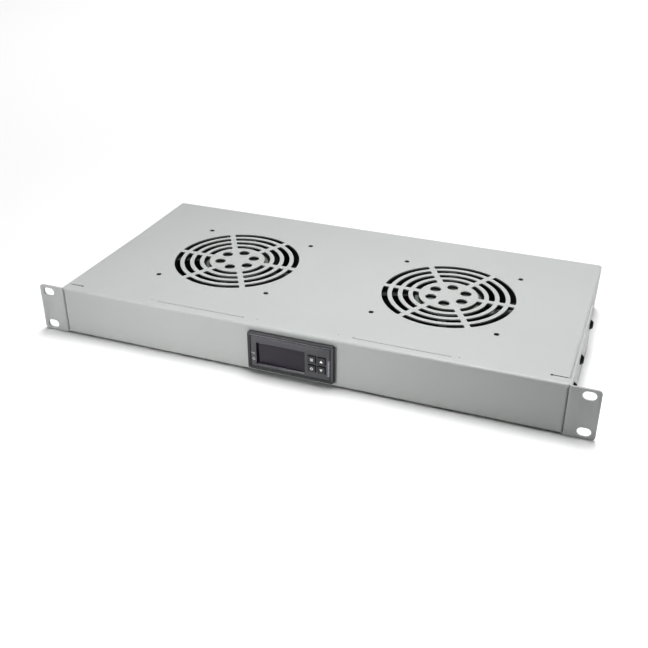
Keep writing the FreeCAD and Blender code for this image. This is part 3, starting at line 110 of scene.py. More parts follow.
class GroupShop:
    """Makes each shared node group once and hands it out."""

    SOCKETS = {"Vector": "NodeSocketVector", "Colour": "NodeSocketColor"}
    NOISE_RANGE = (0.3, 0.7)
    STRETCH = {Relief.BRUSHED: (0.04, 1.0, 1.0), Relief.DRAWN: (1.0, 1.0, 0.05)}
    WAVE_BEND = {Relief.LAMINATED: 0.0, Relief.WOUND: 0.6}
    CAST_DETAIL = 4.0
    PLAIN_DETAIL = 2.0
    PIT_SHARE = 0.6

    def __init__(self) -> None:
        """Starts with no groups made."""
        self.made: dict[str, bpy.types.NodeTree] = {}

    def _start(self, name: str, inputs: Sequence[str],
               output: str) -> tuple[bpy.types.NodeTree, bpy.types.Node, bpy.types.Node]:
        """Makes an empty group with its sockets.

        Args:
            name: The group's name.
            inputs: The inputs' names.
            output: The output's name.

        Returns:
            The tree, its input node and its output node.
        """
        tree = bpy.data.node_groups.new(name, "ShaderNodeTree")
        for way, labels in (("INPUT", inputs), ("OUTPUT", (output,))):
            for label in labels:
                kind = self.SOCKETS.get(label, "NodeSocketFloat")
                tree.interface.new_socket(name=label, in_out=way, socket_type=kind)
        self.made[name] = tree
        return tree, tree.nodes.new("NodeGroupInput"), tree.nodes.new("NodeGroupOutput")

    def _wander(self, tree: bpy.types.NodeTree, given: bpy.types.Node, ends: tuple[str, str],
                detail: float, roughness: float) -> bpy.types.NodeSocket:
        """Adds a soft noise that runs between two of a group's inputs.

        Args:
            tree: The group.
            given: The group's input node.
            ends: Names of the inputs with the lowest and the highest value.
            detail: The noise's detail.
            roughness: The noise's roughness.

        Returns:
            The socket with the value.
        """
        noise = tree.nodes.new("ShaderNodeTexNoise")
        noise.inputs["Detail"].default_value = detail
        noise.inputs["Roughness"].default_value = roughness
        spread = tree.nodes.new("ShaderNodeMapRange")
        spread.inputs["From Min"].default_value, spread.inputs["From Max"].default_value = self.NOISE_RANGE
        tree.links.new(given.outputs["Vector"], noise.inputs["Vector"])
        tree.links.new(given.outputs["Scale"], noise.inputs["Scale"])
        tree.links.new(noise.outputs["Fac"], spread.inputs["Value"])
        tree.links.new(given.outputs[ends[0]], spread.inputs["To Min"])
        tree.links.new(given.outputs[ends[1]], spread.inputs["To Max"])
        return spread.outputs["Result"]

    def tone_drift(self) -> bpy.types.NodeTree:
        """Makes the group that lets a colour wander a little in brightness over the surface.

        Returns:
            The node group, with inputs Vector, Colour, Scale, Darkest and Lightest and output Colour.
        """
        name = "tone_drift"
        if name in self.made:
            return self.made[name]
        tree, given, out = self._start(name, ("Vector", "Colour", "Scale", "Darkest", "Lightest"), "Colour")
        value = self._wander(tree, given, ("Darkest", "Lightest"), 4.0, 0.6)
        tone = tree.nodes.new("ShaderNodeHueSaturation")
        tree.links.new(given.outputs["Colour"], tone.inputs["Color"])
        tree.links.new(value, tone.inputs["Value"])
        tree.links.new(tone.outputs["Color"], out.inputs["Colour"])
        return tree

    def gloss_drift(self) -> bpy.types.NodeTree:
        """Makes the group that lets the roughness wander between two values.

        Returns:
            The node group, with inputs Vector, Scale, Smoothest and Roughest and output Roughness.
        """
        name = "gloss_drift"
        if name in self.made:
            return self.made[name]
        tree, given, out = self._start(name, ("Vector", "Scale", "Smoothest", "Roughest"), "Roughness")
        value = self._wander(tree, given, ("Smoothest", "Roughest"), 3.0, 0.5)
        tree.links.new(value, out.inputs["Roughness"])
        return tree

    def relief(self, kind: Relief) -> bpy.types.NodeTree:
        """Makes the group that gives one kind of small relief as a height.

        Args:
            kind: The relief wanted.

        Returns:
            The node group, with inputs Vector and Scale and output Height.
        """
        if kind.value in self.made:
            return self.made[kind.value]
        tree, given, out = self._start(kind.value, ("Vector", "Scale"), "Height")
        if kind in self.WAVE_BEND:
            maker = tree.nodes.new("ShaderNodeTexWave")
            maker.wave_type = "BANDS"
            maker.bands_direction = "Z"
            maker.inputs["Distortion"].default_value = self.WAVE_BEND[kind]
        else:
            maker = tree.nodes.new("ShaderNodeTexNoise")
            detail = self.CAST_DETAIL if kind is Relief.CAST else self.PLAIN_DETAIL
            maker.inputs["Detail"].default_value = detail
        place = given.outputs["Vector"]
        if kind in self.STRETCH:
            mapping = tree.nodes.new("ShaderNodeMapping")
            mapping.inputs["Scale"].default_value = self.STRETCH[kind]
            tree.links.new(place, mapping.inputs["Vector"])
            place = mapping.outputs["Vector"]
        tree.links.new(place, maker.inputs["Vector"])
        tree.links.new(given.outputs["Scale"], maker.inputs["Scale"])
        height = maker.outputs["Fac"]
        if kind is Relief.CAST:
            pits = tree.nodes.new("ShaderNodeTexVoronoi")
            pits.feature = "SMOOTH_F1"
            both = tree.nodes.new("ShaderNodeMath")
            both.operation = "MULTIPLY_ADD"
            both.inputs[1].default_value = self.PIT_SHARE
            tree.links.new(given.outputs["Vector"], pits.inputs["Vector"])
            tree.links.new(given.outputs["Scale"], pits.inputs["Scale"])
            tree.links.new(pits.outputs["Distance"], both.inputs[0])
            tree.links.new(height, both.inputs[2])
            height = both.outputs["Value"]
        tree.links.new(height, out.inputs["Height"])
        return tree


GROUPS = GroupShop()


@dataclass(frozen=True)
class Finish:
    """One finish of the object.

    Colour is a screen colour, grain is the relief's pitch in millimetres and depth its height in
    micrometres; tone and gloss are how far brightness and roughness wander.
    """

    name: str
    colour: tuple[float, float, float]
    roughness: float
    relief: Relief = Relief.MOULDED
    metallic: float = 0.0
    grain: float = 0.6
    depth: float = 8.0
    tone: float = 0.04
    gloss: float = 0.04
    patch: float = 60.0
    coat: float = 0.0
    clear: float = 0.0
    specular: float = 0.5
    coat_roughness: float = 0.08
    gloss_finer: float = 3.0

    def material(self) -> bpy.types.Material:
        """Makes the material at its first use.

        Returns:
            The material, the same one at each call.
        """
        ready = bpy.data.materials.get("finish_" + self.name)
        if ready:
            return ready
        made = bpy.data.materials.new("finish_" + self.name)
        made.use_nodes = True
        nodes, links = made.node_tree.nodes, made.node_tree.links
        shader = nodes["Principled BSDF"]
        place = nodes.new("ShaderNodeTexCoord").outputs["Object"]
        tone = self._group(nodes, links, GROUPS.tone_drift(), place)
        tone.inputs["Colour"].default_value = colour_of(*self.colour)
        tone.inputs["Scale"].default_value = 1 / (self.patch * MM)
        tone.inputs["Darkest"].default_value = 1 - self.tone
        tone.inputs["Lightest"].default_value = 1 + self.tone
        links.new(tone.outputs["Colour"], shader.inputs["Base Color"])
        gloss = self._group(nodes, links, GROUPS.gloss_drift(), place)
        gloss.inputs["Scale"].default_value = self.gloss_finer / (self.patch * MM)
        gloss.inputs["Smoothest"].default_value = self.roughness - self.gloss
        gloss.inputs["Roughest"].default_value = self.roughness + self.gloss
        links.new(gloss.outputs["Roughness"], shader.inputs["Roughness"])
        if self.depth:
            grain = self._group(nodes, links, GROUPS.relief(self.relief), place)
            grain.inputs["Scale"].default_value = 1 / (self.grain * MM)
            bump = nodes.new("ShaderNodeBump")
            bump.inputs["Strength"].default_value = 1.0
            bump.inputs["Distance"].default_value = self.depth * MICRON
            links.new(grain.outputs["Height"], bump.inputs["Height"])
            links.new(bump.outputs["Normal"], shader.inputs["Normal"])
        shader.inputs["Metallic"].default_value = self.metallic
        shader.inputs["Coat Weight"].default_value = self.coat
        shader.inputs["Coat Roughness"].default_value = self.coat_roughness
        shader.inputs["Specular IOR Level"].default_value = self.specular
        shader.inputs["Transmission Weight"].default_value = self.clear
        return made

    @staticmethod
    def _group(nodes: bpy.types.Nodes, links: bpy.types.NodeLinks, tree: bpy.types.NodeTree,
               place: bpy.types.NodeSocket) -> bpy.types.Node:
        """Places a shared group in a material.

        Args:
            nodes: The material's nodes.
            links: The material's links.
            tree: The group.
            place: The socket with the surface's coordinates.

        Returns:
            The group's node.
        """
        placed = nodes.new("ShaderNodeGroup")
        placed.node_tree = tree
        links.new(place, placed.inputs["Vector"])
        return placed


POWDER_COAT = Finish("powder_coat", (181, 183, 182), 0.46, Relief.ORANGE_PEEL, grain=1.3, depth=9,
                     tone=0.012, gloss=0.03, patch=90, specular=0.35)
BLACK_OXIDE = Finish("black_oxide", (36, 36, 37), 0.34, metallic=0.4, grain=0.3, depth=4,
                     tone=0.12, gloss=0.08, patch=5)
ZINC = Finish("zinc_plate", (188, 191, 196), 0.3, metallic=1.0, grain=0.25, depth=3,
              tone=0.07, gloss=0.08, patch=6)
CASTING = Finish("black_casting", (38, 38, 39), 0.5, Relief.CAST, grain=0.8, depth=26,
                 tone=0.1, gloss=0.06, patch=22)
ROTOR_PLASTIC = Finish("rotor_plastic", (32, 32, 34), 0.36, grain=0.5, depth=7,
                       tone=0.08, gloss=0.06, patch=30)
GROUND_STEEL = Finish("ground_steel", (196, 197, 200), 0.2, Relief.DRAWN, metallic=1.0, grain=0.2, depth=2,
                      tone=0.03, gloss=0.05, patch=4)
CORE_STEEL = Finish("core_laminations", (116, 118, 121), 0.42, Relief.LAMINATED, metallic=0.9, grain=3.2,
                    depth=30, tone=0.08, gloss=0.06, patch=12)
CAGE_STEEL = Finish("cage_steel", (126, 128, 131), 0.38, Relief.DRAWN, metallic=0.9, grain=0.4, depth=4,
                    tone=0.06, gloss=0.06, patch=14)
WINDING = Finish("enamelled_wire", (154, 74, 34), 0.28, Relief.WOUND, metallic=0.75, grain=2.6, depth=90,
                 tone=0.12, gloss=0.05, patch=6)
MOTOR_PLATE = Finish("bare_plate", (118, 125, 119), 0.4, Relief.BRUSHED, metallic=0.2, grain=0.35,
                     depth=3, tone=0.12, gloss=0.08, patch=9)
NICKEL_WIRE = Finish("nickel_wire", (203, 204, 207), 0.17, metallic=1.0, grain=0.6, depth=3,
                     tone=0.04, gloss=0.05, patch=12)
BEZEL_PLASTIC = Finish("bezel_plastic", (68, 68, 71), 0.4, grain=0.35, depth=6,
                       tone=0.05, gloss=0.05, patch=20)
FACE_FOIL = Finish("face_foil", (94, 94, 98), 0.44, grain=0.22, depth=5,
                   tone=0.04, gloss=0.04, patch=18)
# Painted highlight: a near-white colour on the black bezel's upper ridge and window sill, standing in for
# the light that catches them.
BEZEL_PAINTED_HIGHLIGHT = Finish("bezel_painted_highlight", (222, 222, 226), 0.34, grain=0.35, depth=4,
                    tone=0.05, gloss=0.05, patch=14)
SMOKED_LENS = Finish("smoked_lens", (58, 48, 64), 0.07, grain=6, depth=3,
                     tone=0.05, gloss=0.03, patch=16, coat=0.5, clear=0.35)
BUTTON_RUBBER = Finish("button_plastic", (70, 70, 72), 0.48, grain=0.3, depth=7,
                       tone=0.05, gloss=0.05, patch=6)
LIGHT_PRINT = Finish("light_print", (240, 241, 242), 0.5, grain=0.15, depth=3,
                     tone=0.04, gloss=0.05, patch=2)
FAINT_PRINT = Finish("faint_print", (170, 170, 176), 0.5, grain=0.15, depth=3,
                     tone=0.05, gloss=0.05, patch=2)
DISPLAY_PLASTIC = Finish("display_plastic", (22, 20, 24), 0.3, grain=0.5, depth=4,
                         tone=0.08, gloss=0.05, patch=8)
BOARD_GREEN = Finish("board_lacquer", (26, 78, 50), 0.32, Relief.BRUSHED, grain=0.5, depth=10,
                     tone=0.12, gloss=0.06, patch=9, coat=0.3)
SWITCH_PLASTIC = Finish("switch_plastic", (38, 38, 40), 0.45, grain=0.3, depth=5)
TRANSFORMER_TAPE = Finish("transformer_tape", (196, 168, 66), 0.36, Relief.WOUND, grain=8, depth=60,
                          tone=0.08, patch=12)
RELAY_CASE = Finish("relay_case", (36, 84, 150), 0.34, grain=0.4, depth=6, patch=10)
TERMINAL_PLASTIC = Finish("terminal_plastic", (44, 96, 66), 0.46, grain=0.4, depth=7,
                          tone=0.06, patch=10)
CLIP_PLASTIC = Finish("clip_plastic", (58, 58, 60), 0.45, grain=0.3, depth=6, patch=10)
NYLON = Finish("black_nylon", (34, 34, 35), 0.42, grain=0.45, depth=8, patch=9)
PROBE_STEEL = Finish("probe_steel", (190, 191, 194), 0.22, Relief.BRUSHED, metallic=1.0, grain=0.25,
                     depth=2, tone=0.04, gloss=0.05, patch=10)


# Modelling by operators


def deselect() -> None:
    """Leaves edit mode and deselects every object."""
    if bpy.context.object and bpy.context.object.mode != "OBJECT":
        bpy.ops.object.mode_set(mode="OBJECT")
    bpy.ops.object.select_all(action="DESELECT")


def activate(item: bpy.types.Object) -> None:
    """Selects one object alone and makes it the active one.

    Args:
        item: The object.
    """
    deselect()
    item.select_set(True)
    bpy.context.view_layer.objects.active = item


class Pick(Enum):
    """What the operators of edit mode select."""

    CORNERS = "VERT"
    EDGES = "EDGE"
    FACES = "FACE"


def edit(item: bpy.types.Object, pick: Pick) -> bmesh.types.BMesh:
    """Opens a mesh in edit mode with nothing selected.

    Args:
        item: The object to open.
        pick: What the operators select.

    Returns:
        The mesh as the edit mode holds it.
    """
    activate(item)
    bpy.ops.object.mode_set(mode="EDIT")
    bpy.ops.mesh.select_mode(type=pick.value)
    bpy.ops.mesh.select_all(action="DESELECT")
    return bmesh.from_edit_mesh(item.data)


def edit_all(item: bpy.types.Object, pick: Pick) -> None:
    """Opens a mesh in edit mode with everything selected."""
    edit(item, pick)
    bpy.ops.mesh.select_all(action="SELECT")


def select_where(item: bpy.types.Object, pick: Pick, wanted: Callable) -> int:
    """Opens a mesh and selects what passes a test.

    Args:
        item: The object to open.
        pick: Whether corners, edges or faces are tested.
        wanted: The test of one of them.

    Returns:
        How many are selected.
    """
    mesh = edit(item, pick)
    parts = {Pick.CORNERS: mesh.verts, Pick.EDGES: mesh.edges, Pick.FACES: mesh.faces}[pick]
    found = [part for part in parts if wanted(part)]
    for part in found:
        part.select_set(True)
    if pick is not Pick.EDGES:
        mesh.select_flush_mode()
    bmesh.update_edit_mesh(item.data)
    return len(found)


def pick_faces(item: bpy.types.Object, wanted: Callable[[bmesh.types.BMFace], bool]) -> int:
    """Opens a mesh and selects the faces that pass a test."""
    return select_where(item, Pick.FACES, wanted)


def pick_edges(item: bpy.types.Object, wanted: Callable[[bmesh.types.BMEdge], bool]) -> int:
    """Opens a mesh and selects the edges that pass a test."""
    return select_where(item, Pick.EDGES, wanted)


def pick_verts(item: bpy.types.Object, wanted: Callable[[Vector], bool]) -> int:
    """Opens a mesh and selects the corners whose place, in millimetres, passes a test."""
    return select_where(item, Pick.CORNERS, lambda vert: wanted(vert.co / MM))


def grow(shares: Point, about: Point) -> None:
    """Scales the selection along each axis, about a point in millimetres."""
    bpy.ops.transform.resize(value=shares, center_override=[value * MM for value in about])


def bevel_picked(width: float, segments: int) -> None:
    """Rounds the selected edges by a width in millimetres."""
    bpy.ops.mesh.bevel(offset=width * MM, segments=segments, affect="EDGES")


def shift_verts(item: bpy.types.Object, wanted: Callable[[Vector], bool], move: Point) -> int:
    """Moves the corners that pass a test.

    Args:
        item: The object.
        wanted: The test of a corner's place, in millimetres.
        move: How far they go, in millimetres.

    Returns:
        How many corners moved.
    """
    found = pick_verts(item, wanted)
    if found:
        bpy.ops.transform.translate(value=[value * MM for value in move])
    done()
    return found


def split_at(item: bpy.types.Object, back: float, inner: float, outer: float) -> None:
    """Splits the side faces that reach over a plane across the tray.

    Args:
        item: The object.
        back: Where the plane stands along Y, in millimetres.
        inner: Faces nearer the middle than this are left, in millimetres.
        outer: Faces further out than this are left, in millimetres.
    """
    def reaches_over(face: bmesh.types.BMFace) -> bool:
        """Whether a face lies in the band and on both sides of the plane."""
        backs = [vert.co.y for vert in face.verts]
        return (inner * MM < abs(face.calc_center_median().x) < outer * MM
                and min(backs) < back * MM < max(backs))

    pick_faces(item, reaches_over)
    bpy.ops.mesh.bisect(plane_co=(0, back * MM, 0), plane_no=(0, 1, 0))
    done()


def done() -> None:
    """Leaves edit mode."""
    bpy.ops.object.mode_set(mode="OBJECT")


def clean(item: bpy.types.Object) -> None:
    """Merges a mesh's doubles and turns its faces outwards.

    Args:
        item: The object.
    """
    edit_all(item, Pick.CORNERS)
    bpy.ops.mesh.remove_doubles(threshold=MICRON)
    bpy.ops.mesh.normals_make_consistent(inside=False)
    done()


def settle(item: bpy.types.Object) -> None:
    """Puts an object's place into its mesh, so that it sits at the origin."""
    activate(item)
    bpy.ops.object.transform_apply(location=True, rotation=True, scale=True)


def place_at(item: bpy.types.Object, place: Matrix) -> None:
    """Moves and turns a mesh to a place in millimetres."""
    item.matrix_world = Matrix.Translation(place.translation * MM) @ place.to_3x3().to_4x4()
    settle(item)


def join(items: Sequence[bpy.types.Object]) -> bpy.types.Object:
    """Joins meshes into the first of them.

    Args:
        items: The meshes.

    Returns:
        The joined object.
    """
    deselect()
    for item in items:
        item.select_set(True)
    bpy.context.view_layer.objects.active = items[0]
    if len(items) > 1:
        bpy.ops.object.join()
    return items[0]


def soften(item: bpy.types.Object, width: float, segments: int = 2, angle: float = 50.0) -> None:
    """Rounds the sharp edges of a mesh.

    Args:
        item: The object.
        width: Width of the rounding in millimetres.
        segments: Faces across the rounding.
        angle: Edges sharper than this, in degrees, are rounded.
    """
    activate(item)
    bevel = item.modifiers.new("soften", "BEVEL")
    bevel.width = width * MM
    bevel.segments = segments
    bevel.limit_method = "ANGLE"
    bevel.angle_limit = math.radians(angle)
    bevel.harden_normals = False
    bpy.ops.object.modifier_apply(modifier=bevel.name)


def cut(item: bpy.types.Object, cutter: bpy.types.Object) -> None:
    """Cuts one mesh out of another and removes the cutter.

    Args:
        item: The object that is cut.
        cutter: The shape that is taken away.
    """
    activate(item)
    knife = item.modifiers.new("cut", "BOOLEAN")
    knife.operation = "DIFFERENCE"
    knife.solver = "EXACT"
    knife.object = cutter
    bpy.ops.object.modifier_apply(modifier=knife.name)
    bpy.data.objects.remove(cutter)


def wear(item: bpy.types.Object, finish: Finish) -> None:
    """Gives every face of an object one finish."""
    item.data.materials.clear()
    item.data.materials.append(finish.material())


def wear_where(item: bpy.types.Object, finish: Finish,
               wanted: Callable[[bpy.types.MeshPolygon], bool]) -> None:
    """Gives the faces that pass a test a finish of their own.

    Args:
        item: The object.
        finish: The finish of those faces.
        wanted: The test of a face.
    """
    item.data.materials.append(finish.material())
    number = len(item.data.materials) - 1
    for face in item.data.polygons:
        if wanted(face):
            face.material_index = number


def dress(item: bpy.types.Object, finish: Finish, smooth: float, words: str) -> bpy.types.Object:
    """Shades a piece, gives it its finish and logs it.

    Args:
        item: The piece.
        finish: Its finish.
        smooth: Edges flatter than this, in degrees, are shaded smooth; nought leaves them flat.
        words: What the log calls it.

    Returns:
        The piece.
    """
    if smooth:
        activate(item)
        bpy.ops.object.shade_smooth_by_angle(angle=math.radians(smooth))
    wear(item, finish)
    log.info("%s: %s, %d faces", item.name, words, len(item.data.polygons))
    return item


def box(name: str, low: Point, high: Point) -> bpy.types.Object:
    """Adds a block between two corners.

    Args:
        name: The object's name.
        low: The lowest corner, in millimetres.
        high: The highest corner, in millimetres.

    Returns:
        The block, with its place in its mesh.
    """
    deselect()
    middle = [(a + b) / 2 * MM for a, b in zip(low, high)]
    size = [(b - a) * MM for a, b in zip(low, high)]
    bpy.ops.mesh.primitive_cube_add(size=1, location=middle, scale=size)
    item = bpy.context.object
    item.name = name
    settle(item)
    return item


def block(name: str, low: Point, high: Point, corner: float, segments: int = 4) -> bpy.types.Object:
    """Adds a block whose four edges along Y are rounded.

    Args:
        name: The object's name.
        low: The lowest corner, in millimetres.
        high: The highest corner, in millimetres.
        corner: Radius of the rounded edges, in millimetres.
        segments: Faces across a rounded edge.

    Returns:
        The block, with its place in its mesh.
    """
    item = box(name, low, high)
    pick_edges(item, lambda edge: abs(edge.verts[0].co.y - edge.verts[1].co.y) > MICRON)
    bevel_picked(corner, segments)
    done()
    return item


def turned(name: str, profile: Sequence[tuple[float, float]], sides: int,
           place: Matrix) -> bpy.types.Object:
    """Makes a closed turned shape, ring by ring, up its own Z axis.

    Args:
        name: The object's name.
        profile: Radius and height of each ring, in millimetres, from the bottom up.
        sides: Corners round each ring.
        place: Where the shape's origin and axis go, in millimetres.

    Returns:
        The shape, with its place in its mesh.
    """
    deselect()
    radius, height = profile[0]
    bpy.ops.mesh.primitive_circle_add(vertices=sides, radius=radius * MM, fill_type="NGON",
                                      location=(0, 0, height * MM))
    item = bpy.context.object
    item.name = name
    settle(item)
    edit_all(item, Pick.FACES)
    for wide, up in profile[1:]:
        bpy.ops.mesh.extrude_region_move(TRANSFORM_OT_translate={"value": (0, 0, (up - height) * MM)})
        grow((wide / radius, wide / radius, 1), (0, 0, up))
        radius, height = wide, up
    done()
    clean(item)
    place_at(item, place)
    return item


def facing(place: Point, direction: Point) -> Matrix:
    """A place, in millimetres, with its Z axis along a direction."""
    turn = Vector((0, 0, 1)).rotation_difference(Vector(direction)).to_matrix().to_4x4()
    return Matrix.Translation(Vector(place)) @ turn


def ring_of_wire(radius: float, wire: float, centre: Point, sides: int, steps: int) -> bpy.types.Object:
    """Makes one ring of round wire by spinning its section.

    Args:
        radius: Middle radius of the ring, in millimetres.
        wire: Thickness of the wire, in millimetres.
        centre: Middle of the ring, in millimetres.
        sides: Corners round the wire.
        steps: Steps round the ring.

    Returns:
        The ring, with its place in its mesh.
    """
    deselect()
    x, y, z = (value * MM for value in centre)
    bpy.ops.mesh.primitive_circle_add(vertices=sides, radius=wire / 2 * MM, fill_type="NOTHING",
                                      location=(x + radius * MM, y, z), rotation=(math.pi / 2, 0, 0))
    item = bpy.context.object
    settle(item)
    edit_all(item, Pick.CORNERS)
    bpy.ops.mesh.spin(steps=steps, angle=2 * math.pi, center=(x, y, z), axis=(0, 0, 1))
    done()
    clean(item)
    return item


def straight_wire(start: Point, end: Point, wire: float, sides: int) -> bpy.types.Object:
    """Makes one straight round wire.

    Args:
        start: One end, in millimetres.
        end: The other end, in millimetres.
        wire: Thickness of the wire, in millimetres.
        sides: Corners round the wire.

    Returns:
        The wire, with its place in its mesh.
    """
    run = Vector(end) - Vector(start)
    return turned("wire", [(wire / 2, 0), (wire / 2, run.length / 2), (wire / 2, run.length)], sides,
                  facing(start, run.normalized()))


class Relation:
    """How the new pieces take the place of the frame's nodes."""

    FLAT_WITHIN = 0.3

    @staticmethod
    def of_node(node: str) -> bpy.types.Object:
        """Copies a node's mesh and merges it and its flat regions, as the start of a new piece.

        Args:
            node: The node's name.

        Returns:
            The copy, which rides on the node's body and stands for the node.
        """
        source = frame["nodes"][node]
        item = bpy.data.objects.new(node + "_finished", source.data.copy())
        bpy.context.scene.collection.objects.link(item)
        edit_all(item, Pick.CORNERS)
        bpy.ops.mesh.remove_doubles(threshold=2 * MICRON)
        bpy.ops.mesh.dissolve_limited(angle_limit=math.radians(Relation.FLAT_WITHIN))
        done()
        if item.data.has_custom_normals:
            bpy.ops.mesh.customdata_custom_splitnormals_clear()
        Relation.stand_for(item, node)
        return item

    @staticmethod
    def stand_for(item: bpy.types.Object, *nodes: str) -> None:
        """Puts a piece in the place of nodes, on their body, and hides the nodes.

        Args:
            item: The piece.
            nodes: The nodes' names.
        """
        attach(item, BODY_OF[nodes[0]])
        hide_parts(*nodes)

    @staticmethod
    def add_to(item: bpy.types.Object, name: str, body: str, slot: str) -> None:
        """Names a piece that stands for no node and puts it on a body.

        Args:
            item: The piece.
            name: Its name.
            body: The body it rides on.
            slot: Not used.
        """
        item.name = name
        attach(item, body)

    @staticmethod
    def keep(node: str, finish: Finish) -> None:
        """Keeps a node's own mesh and gives it a better finish.

        Args:
            node: The node's name.
            finish: Its finish.
        """
        for slot in frame["nodes"][node].material_slots:
            slot.material = finish.material()
        log.info("%s keeps its solid, in %s", node, finish.name)


def finished(node: str, finish: Finish, edge: float, words: str, segments: int = 2,
             smooth: float = 30.0) -> bpy.types.Object:
    """Finishes a copy of one node's solid.

    Args:
        node: The node's name.
        finish: Its finish.
        edge: Rounding of its sharp edges in millimetres, or nought.
        words: What the log calls it.
        segments: Faces across the rounding.
        smooth: Edges flatter than this, in degrees, are shaded smooth.

    Returns:
        The finished piece.
    """
    item = Relation.of_node(node)
    if edge:
        soften(item, edge, segments)
    return dress(item, finish, smooth, words)


@dataclass(frozen=True)
class CrossRecess:
    """The cross recess of screw heads; its arms taper to half their width at the bottom."""

    direction: Point
    size: float
    depth: float
    arm_share: float = 0.25
    taper: float = 0.5

    def blades(self, heads: Sequence[Point], wide: float, long: float) -> bpy.types.Object:
        """Makes the cutter of one pair of arms in each head.

        Args:
            heads: Middle of each head's outer face, in millimetres.
            wide: Size of the arms one way, in millimetres.
            long: Size of the arms the other way, in millimetres.

        Returns:
            The cutter.
        """
        made = []
        for head in heads:
            blade = box("recess", (-wide / 2, -long / 2, -self.depth), (wide / 2, long / 2, 1))
            pick_faces(blade, lambda face: face.normal.z < -0.5)
            grow((self.taper, self.taper, 1), (0, 0, -self.depth))
            done()
            place_at(blade, facing(head, self.direction))
            made.append(blade)
        return join(made)

    def cut_into(self, item: bpy.types.Object, heads: Sequence[Point]) -> None:
        """Cuts both pairs of arms into each head.

        Args:
            item: The screws.
            heads: Middle of each head's outer face, in millimetres.
        """
        arm = self.size * self.arm_share
        for wide, long in ((arm, self.size), (self.size, arm)):
            cut(item, self.blades(heads, wide, long))


# Sheet metal and its fasteners


